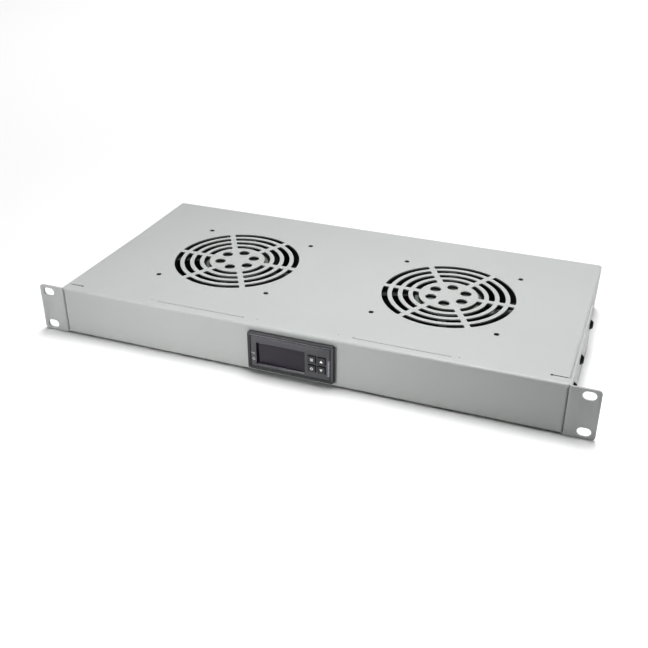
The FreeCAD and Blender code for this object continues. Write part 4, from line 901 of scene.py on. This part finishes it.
@dataclass
class TrayPanel:
    """The folded tray: grilles with widened slots, drawn-out side folds, and fine marks on its lip."""

    top: float = 22.1
    skin: float = 2.0
    slot_round: float = 0.9
    slot_turn: float = 50.0
    line_from: float = 47.0
    line_to: float = 128.0
    line_back: float = 6.7
    line_width: float = 0.5
    mark_depth: float = 0.35
    dot: float = 1.3
    dots: tuple[float, ...] = (35.5, 48.2, 133.5)
    dot_back: float = 7.7
    slot_radii: tuple[float, float] = (24.0, 60.0)
    rings: tuple[float, ...] = (28.0, 37.0, 46.0, 55.0)
    slot: float = 4.0
    slot_widening: float = 0.5
    hub_ring: float = 15.5
    hub_hole: float = 4.5
    hub_widening: float = 0.3
    spokes: int = 6
    spoke: float = 6.0
    fans: tuple[float, float] = (100.3, 105.6)
    fold_start: float = 8.6
    fold_in: float = 213.55
    fold_low: float = 19.9
    fold_out: float = 1.2
    jog: tuple[float, float] = (137.0, 139.5)
    edge: float = 0.14

    def build(self) -> list[bpy.types.Object]:
        """Builds the panel.

        Returns:
            The panel, alone in a list.
        """
        item = Relation.of_node("tray_panel")
        for sign in (-1, 1):
            x, y = sign * self.fans[0], self.fans[1]
            self.widen_ends(item, x, y)
            self.widen_rings(item, x, y)
        self.push_folds(item)
        self.round_slots(item)
        self.mark_lip(item)
        soften(item, self.edge, 1, 60)
        return [dress(item, POWDER_COAT, 28, "folded sheet with two grilles")]

    def widen_ends(self, item: bpy.types.Object, x: float, y: float) -> None:
        """Moves the ends of the ring slots nearer to each spoke.

        Args:
            item: The panel.
            x: The fan axis's place along X, in millimetres.
            y: The fan axis's place along Y, in millimetres.
        """
        for number in range(self.spokes):
            turn = 2 * math.pi * number / self.spokes
            along = Vector((math.cos(turn), math.sin(turn), 0))
            for hand in (-1, 1):
                side = Vector((-math.sin(turn) * hand, math.cos(turn) * hand, 0))

                def at_end(place: Vector) -> bool:
                    """Whether a corner is on this side of this spoke."""
                    arm = Vector((place.x - x, place.y - y, 0))
                    return (self.slot_radii[0] < arm.length < self.slot_radii[1] and arm.dot(along) > 0
                            and abs(arm.dot(side) - self.spoke / 2) < ON_LINE)

                shift_verts(item, at_end, tuple(side * -self.slot_widening))

    def widen_rings(self, item: bpy.types.Object, x: float, y: float) -> None:
        """Opens each ring slot inwards and outwards, and each hub hole all round.

        Args:
            item: The panel.
            x: The fan axis's place along X, in millimetres.
            y: The fan axis's place along Y, in millimetres.
        """
        for ring in self.rings:
            for hand in (-1, 1):
                self.open_circle(item, x, y, ring + hand * self.slot / 2, hand * self.slot_widening)
        for number in range(self.spokes):
            turn = 2 * math.pi * (number + 0.5) / self.spokes
            across, back = x + self.hub_ring * math.cos(turn), y + self.hub_ring * math.sin(turn)
            self.open_circle(item, across, back, self.hub_hole, self.hub_widening)

    def open_circle(self, item: bpy.types.Object, x: float, y: float, radius: float, growth: float) -> None:
        """Scales the walls on one circle of a grille.

        Args:
            item: The panel.
            x: The circle's middle along X, in millimetres.
            y: The circle's middle along Y, in millimetres.
            radius: Its radius, in millimetres.
            growth: What is added to the radius, in millimetres.
        """
        pick_verts(item, lambda place: place.z > self.top - self.skin
                   and abs(math.hypot(place.x - x, place.y - y) - radius) < ON_CIRCLE)
        share = (radius + growth) / radius
        grow((share, share, 1), (x, y, 0))
        done()

    def push_folds(self, item: bpy.types.Object) -> None:
        """Brings the top's side folds out over the wings, and leans the flanges behind the wings to them.

        Args:
            item: The panel.
        """
        for plane in self.jog:
            split_at(item, plane, self.fold_in, math.inf)
        for sign in (-1, 1):
            found = shift_verts(item, lambda place: self.is_fold(place, sign), (sign * self.fold_out, 0, 0))
            log.info("tray_panel: %d corners of a side fold moved", found)

    def is_fold(self, place: Vector, sign: int) -> bool:
        """Tells the corners of a side fold, and of the flange's upper edge behind the wing.

        Args:
            place: The corner's place, in millimetres.
            sign: The side, -1 for the left.

        Returns:
            Whether the corner is one of them.
        """
        if place.x * sign <= self.fold_in or place.y <= self.fold_start:
            return False
        behind = place.y > self.jog[1] - ON_PLANE
        return place.z > self.fold_low + ON_LINE or (behind and place.z > self.fold_low - ON_LINE)

    def is_corner(self, edge: bmesh.types.BMEdge) -> bool:
        """Tells the sharp upright corners of the ring slots.

        Args:
            edge: The edge.

        Returns:
            Whether it is one of them.
        """
        a, b = (vert.co for vert in edge.verts)
        if abs(a.x - b.x) > SAME_PLACE or abs(a.y - b.y) > SAME_PLACE or len(edge.link_faces) != 2:
            return False
        low, high = (radius * MM for radius in self.slot_radii)
        away = math.hypot(abs(a.x) - self.fans[0] * MM, a.y - self.fans[1] * MM)
        return low < away < high and math.degrees(edge.calc_face_angle(0)) > self.slot_turn

    def round_slots(self, item: bpy.types.Object) -> None:
        """Rounds the four upright corners of every ring slot.

        Args:
            item: The panel.
        """
        found = pick_edges(item, self.is_corner)
        if found:
            bevel_picked(self.slot_round, 3)
        done()
        log.info("tray_panel: %d slot corners rounded", found)

    def mark_lip(self, item: bpy.types.Object) -> None:
        """Cuts the two fine lines and the small dots into the top's front lip.

        Args:
            item: The panel.
        """
        low, high = self.top - self.mark_depth, self.top + 1
        marks = []
        for side in (-1, 1):
            ends = sorted((side * self.line_from, side * self.line_to))
            marks.append(box("line", (ends[0], self.line_back - self.line_width / 2, low),
                             (ends[1], self.line_back + self.line_width / 2, high)))
            for across in self.dots:
                marks.append(turned("dot", [(self.dot / 2, low), (self.dot / 2, high)], 16,
                                    facing((side * across, self.dot_back, 0), (0, 0, 1))))
        cut(item, join(marks))


@dataclass
class Bracket:
    """One rack bracket with its three side screws and their nuts."""

    side: str
    sign: int
    head_face: float = 221.2
    screws: tuple[float, float, float] = (24.5, 67.5, 128.5)
    screw_up: float = 4.7
    recess: float = 4.2
    recess_depth: float = 1.3
    wing: tuple[float, float] = (217.1, 218.8)
    wing_drop: float = 2.2
    drop_from: tuple[float, float] = (4.5, 6.5)
    drop_above: float = 17.7
    edge: float = 0.22

    def build(self) -> list[bpy.types.Object]:
        """Builds the bracket, its screws and its nuts and returns them."""
        node = self.side + "_bracket_nuts"
        return [self.bracket(), self.fasteners(), finished(node, ZINC, 0.15, "three nuts", segments=1)]

    def bracket(self) -> bpy.types.Object:
        """Builds the folded bracket, with its wing lowered and its edges eased.

        Returns:
            The bracket.
        """
        item = Relation.of_node(self.side + "_rack_bracket")
        for plane in self.drop_from:
            split_at(item, plane, *self.wing)
        found = shift_verts(item, lambda place: place.y > self.drop_from[1] - ON_PLANE
                            and place.z > self.drop_above, (0, 0, -self.wing_drop))
        log.info("%s: %d corners of the wing's upper edge lowered", item.name, found)
        soften(item, self.edge, 2, 60)
        return dress(item, POWDER_COAT, 28, "folded ear and wing")

    def fasteners(self) -> bpy.types.Object:
        """Builds the black truss-head screws with their cross recesses.

        Returns:
            The three screws, as one piece.
        """
        item = Relation.of_node(self.side + "_bracket_screws")
        heads = [(self.sign * self.head_face, back, self.screw_up) for back in self.screws]
        CrossRecess((self.sign, 0, 0), self.recess, self.recess_depth).cut_into(item, heads)
        return dress(item, BLACK_OXIDE, 38, "three cross-recessed screws")


# Fans


@dataclass
class Fan:
    """One 120 mm fan with its motor, guard and long screws."""

    side: str
    sign: int
    axis: tuple[float, float] = (100.3, 105.6)
    screw_reach: float = 52.5
    head_face: float = -21.1
    recess: float = 3.6
    recess_depth: float = 1.2
    ring_radii: tuple[float, float, float] = (17.0, 36.0, 55.0)
    ring_wire: float = 1.6
    ring_up: float = -19.45
    leg_wire: float = 1.8
    leg_up: float = -18.0
    loop: float = 3.6
    solids: tuple[tuple[str, Finish, float, float, str], ...] = (
        ("fan_frame", CASTING, 0.35, 30, "square frame with duct, arms and motor base"),
        ("fan_rotor", ROTOR_PLASTIC, 0.0, 40, "hub with twisted blades"),
        ("rotor_cage", CAGE_STEEL, 0.2, 30, "steel cage"),
        ("fan_shaft", GROUND_STEEL, 0.2, 30, "shaft"),
        ("shaft_clip", GROUND_STEEL, 0.08, 30, "ring clip"),
        ("fan_bearings", GROUND_STEEL, 0.2, 30, "two ball bearings"),
        ("stator_core", CORE_STEEL, 0.1, 30, "laminated core"),
        ("stator_coils", WINDING, 0.9, 30, "four windings"),
        ("motor_plate", MOTOR_PLATE, 0.12, 30, "bare plate"))

    def name(self, part: str) -> str:
        """The node's name of a part of this fan."""
        return f"{self.side}_{part}"

    def build(self) -> list[bpy.types.Object]:
        """Builds every piece of the fan.

        Returns:
            The pieces.
        """
        pieces = [finished(self.name(part), finish, edge, words, smooth=smooth)
                  for part, finish, edge, smooth, words in self.solids]
        return pieces + [self.guard(), self.screws()]

    def guard(self) -> bpy.types.Object:
        """Builds the wire guard: three rings on two crossing legs with a loop at each screw.

        Returns:
            The guard.
        """
        x, y = self.sign * self.axis[0], self.axis[1]
        wires = [ring_of_wire(radius, self.ring_wire, (x, y, self.ring_up), 10, 72)
                 for radius in self.ring_radii]
        reach = self.screw_reach - self.loop / math.sqrt(2)
        for lean in (-1, 1):
            wires.append(straight_wire((x - reach, y - lean * reach, self.leg_up),
                                       (x + reach, y + lean * reach, self.leg_up), self.leg_wire, 12))
            for end in (-1, 1):
                centre = (x + end * self.screw_reach, y + end * lean * self.screw_reach, self.leg_up)
                wires.append(ring_of_wire(self.loop, self.leg_wire, centre, 10, 28))
        item = join(wires)
        item.name = self.name("finger_guard_wire")
        Relation.stand_for(item, self.name("finger_guard"))
        return dress(item, NICKEL_WIRE, 50, "welded wire guard")

    def screws(self) -> bpy.types.Object:
        """Builds the four long screws with cross recesses in their heads.

        Returns:
            The four screws, as one piece.
        """
        item = Relation.of_node(self.name("fan_screws"))
        x, y = self.sign * self.axis[0], self.axis[1]
        heads = [(x + across * self.screw_reach, y + back * self.screw_reach, self.head_face)
                 for across in (-1, 1) for back in (-1, 1)]
        soften(item, 0.35, 3, 60)
        CrossRecess((0, 0, -1), self.recess, self.recess_depth).cut_into(item, heads)
        return dress(item, BLACK_OXIDE, 38, "four long screws")


# Controller


class Sign(Enum):
    """What a push button's mark shows."""

    BARS = "bars"
    UP = "up"
    POWER = "power"
    DOWN = "down"


@dataclass(frozen=True)
class Print:
    """Thin printed signs on a face that looks to the front, with sizes in millimetres."""

    face: float
    thick: float = 0.06
    sunk: float = 0.02
    corner_share: float = 0.3
    bars: tuple[float, float, float] = (2.7, 0.5, 0.95)
    ring_radii: tuple[float, float] = (1.3, 0.82)
    ring_down: float = 0.1
    gap: tuple[float, float, float] = (0.5, 0.4, 2.0)
    stem: tuple[float, float, float] = (0.45, 1.5, 0.8)
    arrow_half: float = 1.45
    arrow_squat: float = 0.8
    arrow_tip: float = 0.02

    def bar(self, x: float, z: float, width: float, height: float) -> bpy.types.Object:
        """Makes a bar with eased corners.

        Args:
            x: Its middle along X.
            z: Its middle along Z.
            width: Its width.
            height: Its height.

        Returns:
            The bar.
        """
        low = (x - width / 2, self.face - self.thick, z - height / 2)
        high = (x + width / 2, self.face + self.sunk, z + height / 2)
        return block("bar", low, high, min(width, height) * self.corner_share, 3)

    def ring(self, x: float, z: float, radii: tuple[float, float], hole_sides: int) -> bpy.types.Object:
        """Makes a ring.

        Args:
            x: Its middle along X.
            z: Its middle along Z.
            radii: Its outer and its inner radius.
            hole_sides: Corners round its hole.

        Returns:
            The ring.
        """
        outer, inner = radii
        item = turned("ring", [(outer, 0), (outer, self.thick + self.sunk)], 28,
                      facing((x, self.face + self.sunk, z), (0, -1, 0)))
        hole = turned("hole", [(inner, -1), (inner, 1)], hole_sides, facing((x, self.face, z), (0, -1, 0)))
        cut(item, hole)
        return item

    def arrow(self, x: float, z: float, tip: int) -> bpy.types.Object:
        """Makes an arrow head.

        Args:
            x: Its middle along X.
            z: Its middle along Z.
            tip: Where it points, 1 for up and -1 for down.

        Returns:
            The arrow head.
        """
        half, tall = self.arrow_half, self.arrow_half * self.arrow_squat
        item = box("arrow", (x - half, self.face - self.thick, z - tall),
                   (x + half, self.face + self.sunk, z + tall))
        pick_faces(item, lambda face: face.normal.z * tip > 0.5)
        grow((self.arrow_tip, 1, 1), (x, self.face, z))
        done()
        clean(item)
        return item

    def sign(self, sign: Sign, x: float, z: float) -> bpy.types.Object:
        """Makes the mark of one button.

        Args:
            sign: What it shows.
            x: Its middle along X.
            z: Its middle along Z.

        Returns:
            The mark.
        """
        if sign is Sign.BARS:
            width, height, step = self.bars
            return join([self.bar(x, z + way * step, width, height) for way in (-1, 0, 1)])
        if sign is Sign.POWER:
            ring = self.ring(x, z - self.ring_down, self.ring_radii, 24)
            half, start, end = self.gap
            cut(ring, box("gap", (x - half, self.face - 1, z + start), (x + half, self.face + 1, z + end)))
            width, height, up = self.stem
            return join([ring, self.bar(x, z + up, width, height)])
        return self.arrow(x, z, 1 if sign is Sign.UP else -1)


@dataclass
class Controller:
    """The panel controller: bezel, lens, four buttons with marks, clips, cover and terminals."""

    across: float = -1.5
    up: float = -0.3
    face: float = -4.7
    bezel: tuple[float, float] = (75.0, 34.5)
    groove_in: float = 2.5
    groove_width: float = 0.5
    groove_depth: float = 0.6
    groove_corners: tuple[float, float] = (1.0, 0.8)
    ridge: float = 0.9
    sill: float = 0.7
    sill_depth: float = 1.6
    paint_depth: float = 0.35
    paint_margin: float = 0.2
    window_low: tuple[float, float] = (-31.15, -12.8)
    window_high: tuple[float, float] = (11.35, 7.6)
    lens_face: float = -2.7
    lens_thick: float = 1.5
    lens_room: float = 0.04
    lens_right_room: float = 0.7
    button_face: float = -5.7
    button_dish: float = 0.16
    dish_share: float = 0.86
    dish_rim: float = 0.02
    buttons: tuple[tuple[str, Sign, float, float], ...] = (
        ("button_set", Sign.BARS, 17.6, 2.2), ("button_up", Sign.UP, 25.8, 2.2),
        ("button_power", Sign.POWER, 17.6, -6.0), ("button_down", Sign.DOWN, 25.8, -6.0))
    bars: tuple[tuple[float, float, float, float], ...] = ((-34.3, -2.2, 3.4, 0.7), (-33.4, -3.2, 1.6, 0.7))
    lamp: tuple[float, float] = (-33.7, -8.0)
    lamp_radii: tuple[float, float] = (1.35, 0.6)
    tick_place: tuple[float, float] = (32.0, -10.6)
    tick_size: tuple[float, float] = (1.9, 0.75)
    tick_pitch: float = 1.25
    tick_count: int = 12
    terminal_count: int = 8
    terminal_pitch: float = 7.2
    terminal_up: float = 6.5
    terminal_back: float = 77.2
    terminal_head: tuple[tuple[float, float], ...] = (
        (1.7, -0.9), (1.9, -0.6), (1.9, 0.4), (1.6, 0.8), (0.9, 0.95))
    terminal_slot: tuple[float, float, float] = (2.2, 0.45, 0.28)
    clips: tuple[str, ...] = ("left_controller_clip", "right_controller_clip")
    kept: tuple[tuple[str, Finish], ...] = (
        ("display_module", DISPLAY_PLASTIC), ("front_board", BOARD_GREEN),
        ("button_switches", SWITCH_PLASTIC), ("main_board", BOARD_GREEN),
        ("mains_transformer", TRANSFORMER_TAPE), ("output_relays", RELAY_CASE))

    def build(self) -> list[bpy.types.Object]:
        """Builds every piece of the controller.

        Returns:
            The pieces.
        """
        pieces = [self.case(), self.lens()]
        for node, sign, across, up in self.buttons:
            pieces += self.button(node, sign, across, up)
        pieces += [self.marks(), self.ticks(),
                   finished("controller_back", BEZEL_PLASTIC, 0.4, "rear cover"),
                   finished("terminal_block", TERMINAL_PLASTIC, 0.25, "terminal block"),
                   self.terminal_screws()]
        pieces += [finished(node, CLIP_PLASTIC, 0.25, "side clip") for node in self.clips]
        for node, finish in self.kept:
            Relation.keep(node, finish)
        return pieces

    def case(self) -> bpy.types.Object:
        """Builds the bezel and case: a groove round the face, and a painted highlight on the ridge and the
        sill.

        Returns:
            The case.
        """
        item = Relation.of_node("controller_case")
        half = (self.bezel[0] / 2 - self.groove_in, self.bezel[1] / 2 - self.groove_in)
        cut(item, self.groove(half))
        front = (self.face + ON_PLANE) * MM
        pick_faces(item, lambda face: face.normal.y < -0.9 and face.calc_center_median().y < front)
        bpy.ops.mesh.bisect(plane_co=(0, 0, (self.up + half[1] + self.ridge) * MM), plane_no=(0, 0, 1))
        done()
        pick_edges(item, self.is_sill_edge)
        bevel_picked(self.sill, 1)
        done()
        soften(item, 0.22)
        dress(item, BEZEL_PLASTIC, 30, "bezel and case")
        inner = tuple(value - self.groove_width for value in half)
        wear_where(item, FACE_FOIL, lambda face: self.on_face(face, inner))
        # Painted highlight: the upper ridge and the window's sill take a near-white colour where light
        # catches them.
        wear_where(item, BEZEL_PAINTED_HIGHLIGHT, lambda face: self.is_ridge(face, half) or self.is_ledge(face))
        return item

    def groove(self, half: tuple[float, float]) -> bpy.types.Object:
        """Makes the cutter of the groove round the face, a block with its middle cut away.

        Args:
            half: Half the groove's outer width and height, in millimetres.

        Returns:
            The cutter.
        """
        deep = self.face + self.groove_depth
        outer = block("groove", (self.across - half[0], self.face - 1, self.up - half[1]),
                      (self.across + half[0], deep, self.up + half[1]), self.groove_corners[0])
        wide, tall = (value - self.groove_width for value in half)
        cut(outer, block("island", (self.across - wide, self.face - 2, self.up - tall),
                         (self.across + wide, deep + 1, self.up + tall), self.groove_corners[1]))
        return outer

    def on_face(self, face: bpy.types.MeshPolygon, half: tuple[float, float]) -> bool:
        """Tells the faces on the case's front, inside the groove.

        Args:
            face: The face.
            half: Half the width and height inside the groove, in millimetres.

        Returns:
            Whether the face is one of them.
        """
        x, y, z = face.center / MM
        if face.normal.y > -0.9 or y > self.face + self.paint_depth:
            return False
        wide, tall = (value - self.paint_margin for value in half)
        return abs(x - self.across) < wide and abs(z - self.up) < tall

    def is_ridge(self, face: bpy.types.MeshPolygon, half: tuple[float, float]) -> bool:
        """Tells the faces of the upper ridge, just outside the groove.

        Args:
            face: The face.
            half: Half the groove's outer width and height, in millimetres.

        Returns:
            Whether the face is one of them.
        """
        x, y, z = face.center / MM
        low = self.up + half[1]
        return (face.normal.y < -0.5 and y < self.face + self.paint_depth
                and low - ON_PLANE < z < low + self.ridge + ON_PLANE)

    def is_sill_edge(self, edge: bmesh.types.BMEdge) -> bool:
        """Tells the front edge of the window's sill.

        Args:
            edge: The edge.

        Returns:
            Whether it is the one.
        """
        places = [vert.co / MM for vert in edge.verts]
        return all(abs(y - self.face) < ON_LINE and abs(z - self.window_low[1]) < ON_PLANE
                   and self.window_low[0] - 1 < x < self.window_high[0] + 1 for x, y, z in places)

    def is_ledge(self, face: bpy.types.MeshPolygon) -> bool:
        """Tells the faces of the sill under the window.

        Args:
            face: The face.

        Returns:
            Whether the face is one of them.
        """
        x, y, z = face.center / MM
        near = abs(z - self.window_low[1]) < self.sill + self.paint_margin
        return (face.normal.z > 0.5 and near and y < self.lens_face + self.sill_depth
                and self.window_low[0] < x < self.window_high[0])

    def lens(self) -> bpy.types.Object:
        """Builds the smoked lens, a little short of the window at its right.

        Returns:
            The lens.
        """
        room = self.lens_room
        low = (self.window_low[0] + room, self.lens_face, self.window_low[1] + room)
        high = (self.window_high[0] - self.lens_right_room, self.lens_face + self.lens_thick,
                self.window_high[1] - room)
        item = block("display_window_lens", low, high, 0.5)
        Relation.stand_for(item, "display_window")
        soften(item, 0.12)
        return dress(item, SMOKED_LENS, 30, "smoked lens")

    def button(self, node: str, sign: Sign, across: float, up: float) -> list[bpy.types.Object]:
        """Builds one push button and its mark.

        Args:
            node: The button's node and body.
            sign: What its mark shows.
            across: Place of its middle along X, in millimetres.
            up: Place of its middle along Z, in millimetres.

        Returns:
            The button and its mark.
        """
        cap = Relation.of_node(node)
        soften(cap, 0.3, 3)
        front = (self.button_face + self.dish_rim) * MM
        pick_faces(cap, lambda face: face.normal.y < -0.99 and face.calc_center_median().y < front)
        bpy.ops.mesh.inset(thickness=self.dish_rim * MM)
        grow((self.dish_share, 1, self.dish_share), (across, self.button_face, up))
        bpy.ops.transform.translate(value=(0, self.button_dish * MM, 0))
        done()
        dress(cap, BUTTON_RUBBER, 30, "push button")
        mark = Print(self.button_face + self.button_dish).sign(sign, across, up)
        Relation.add_to(mark, node + "_mark", BODY_OF[node], "button_plastic")
        return [cap, dress(mark, LIGHT_PRINT, 0, "printed mark")]

    def marks(self) -> bpy.types.Object:
        """Builds the small marks left of the window: two bars and a lamp ring.

        Returns:
            The marks, as one piece.
        """
        ink = Print(self.face)
        item = join([ink.bar(*bar) for bar in self.bars] + [ink.ring(*self.lamp, self.lamp_radii, 20)])
        Relation.add_to(item, "controller_marks", TRAY, "controller_plastic")
        return dress(item, FAINT_PRINT, 0, "two small marks")

    def ticks(self) -> bpy.types.Object:
        """Builds the faint column of ticks right of the buttons.

        Returns:
            The ticks, as one piece.
        """
        ink, (x, low) = Print(self.face), self.tick_place
        item = join([ink.bar(x, low + step * self.tick_pitch, *self.tick_size)
                     for step in range(self.tick_count)])
        Relation.add_to(item, "controller_ticks", TRAY, "controller_plastic")
        return dress(item, FAINT_PRINT, 0, "faint ticks")

    def terminal_screws(self) -> bpy.types.Object:
        """Builds the slotted screws at the bottom of the terminal block's wells.

        Returns:
            The screws, as one piece.
        """
        y, z = self.terminal_back, self.terminal_up
        half, bottom, tall = self.terminal_slot
        screws = []
        for number in range(self.terminal_count):
            x = self.across + (number - (self.terminal_count - 1) / 2) * self.terminal_pitch
            head = turned("terminal_screw", self.terminal_head, 20, facing((x, y, z), (0, 1, 0)))
            cut(head, box("slot", (x - half, y + bottom, z - tall), (x + half, y + 2, z + tall)))
            screws.append(head)
        item = join(screws)
        Relation.add_to(item, "terminal_screws", TRAY, "zinc_steel")
        return dress(item, ZINC, 35, "slotted terminal screws")


# Rear fittings


@dataclass
class RearFittings:
    """The cable gland, and the temperature probe in its clip."""

    pieces: tuple[tuple[str, Finish, float, str], ...] = (
        ("cable_gland", NYLON, 0.3, "gland with domed nose"),
        ("gland_lock_nut", NYLON, 0.3, "lock nut"),
        ("temperature_probe", PROBE_STEEL, 0.4, "probe"),
        ("probe_clip", NYLON, 0.2, "clip round the probe"),
        ("probe_clip_screw", ZINC, 0.2, "clip screw"),
        ("probe_clip_nut", ZINC, 0.15, "clip nut"))

    def build(self) -> list[bpy.types.Object]:
        """Builds the fittings and returns them."""
        return [finished(node, finish, edge, words) for node, finish, edge, words in self.pieces]


# Studio


@dataclass
class Studio:
    """The pale floor, the soft lights and the camera."""

    floor_size: float = 24.0
    floor_up: float = -0.0222
    floor_shade: float = 0.80
    floor_roughness: float = 0.8
    floor_specular: float = 0.2
    sensor: float = 36.0
    nearest: float = 0.01
    lens: float = 51.27
    camera_place: Point = (0.252776, -0.590359, 0.38665)
    right: Point = (0.93378272, 0.35783989, -0.00067260)
    down: Point = (0.17374599, -0.45503149, -0.87336057)
    forward: Point = (-0.31282930, 0.81541214, -0.48707378)
    world: float = 0.05
    contrast: float = 0.73
    lights: tuple[tuple[str, Point, Point, float, float, float], ...] = (
        ("overhead_softbox", (0.0, 1.0, 6.0), (0.0, 1.0, 0.0), 3.0, 376.0, 180.0),
        ("backdrop_softbox", (-0.3, 2.3, 3.0), (-0.3, 1.9, 0.0), 2.0, 42.0, 180.0),
        ("front_pool", (0.14, 0.0, 1.0), (0.09, 0.04, 0.0), 0.4, 0.34, 60.0),
        ("left_beam", (-0.56, -0.98, 0.16), (-0.06, 0.0, -0.01), 0.32, 0.42, 34.0),
        ("right_panel", (1.2, 0.55, 0.16), (0.22, 0.1, 0.0), 0.4, 0.8, 70.0),
    )

    def build(self) -> None:
        """Builds the floor, the lights and the camera, and sets the world and the contrast."""
        self.floor()
        for light in self.lights:
            self.panel(*light)
        self.camera()
        scene = bpy.context.scene
        scene.world = bpy.data.worlds.new("studio")
        scene.world.use_nodes = True
        back = scene.world.node_tree.nodes["Background"]
        back.inputs["Color"].default_value = (1, 1, 1, 1)
        back.inputs["Strength"].default_value = self.world
        scene.view_settings.view_transform = "Standard"
        scene.view_settings.gamma = self.contrast

    def floor(self) -> None:
        """Builds the pale floor."""
        deselect()
        bpy.ops.mesh.primitive_plane_add(size=self.floor_size, location=(0, 0, self.floor_up))
        floor = bpy.context.object
        floor.name = "floor"
        made = bpy.data.materials.new("pale_floor")
        made.use_nodes = True
        shader = made.node_tree.nodes["Principled BSDF"]
        shader.inputs["Base Color"].default_value = (*[self.floor_shade] * 3, 1)
        shader.inputs["Roughness"].default_value = self.floor_roughness
        shader.inputs["Specular IOR Level"].default_value = self.floor_specular
        floor.data.materials.append(made)

    @staticmethod
    def panel(name: str, place: Point, target: Point, size: float, power: float, spread: float) -> None:
        """Adds one soft square light.

        Args:
            name: The light's name.
            place: Where it hangs, in metres.
            target: What it faces, in metres.
            size: Its width, in metres.
            power: Its power, in watts.
            spread: How wide its beam opens, in degrees.
        """
        lamp = bpy.data.lights.new(name, "AREA")
        lamp.shape = "SQUARE"
        lamp.size = size
        lamp.energy = power
        lamp.spread = math.radians(spread)
        item = bpy.data.objects.new(name, lamp)
        bpy.context.scene.collection.objects.link(item)
        item.location = place
        item.rotation_euler = (Vector(target) - Vector(place)).to_track_quat("-Z", "Y").to_euler()

    def camera(self) -> None:
        """Sets the camera at the photograph's place and angle."""
        lens = bpy.data.cameras.new("camera")
        lens.lens = self.lens
        lens.sensor_width = self.sensor
        lens.clip_start = self.nearest
        item = bpy.data.objects.new("camera", lens)
        bpy.context.scene.collection.objects.link(item)
        axes = Matrix((self.right, -Vector(self.down), -Vector(self.forward))).transposed()
        item.matrix_world = Matrix.Translation(self.camera_place) @ axes.to_4x4()
        bpy.context.scene.camera = item


def main() -> None:
    """Builds the sub-assemblies in order, then the studio."""
    logging.basicConfig(level=logging.INFO, format="%(name)s %(message)s")
    count = 0
    assemblies = [TrayPanel(), Bracket("left", -1), Bracket("right", 1), Fan("left", -1), Fan("right", 1),
                  Controller(), RearFittings()]
    for assembly in assemblies:
        count += len(assembly.build())
        log.info("%s finished", type(assembly).__name__)
    Studio().build()
    deselect()
    log.info("%d pieces finished", count)


if __name__ == "__main__":
    main()
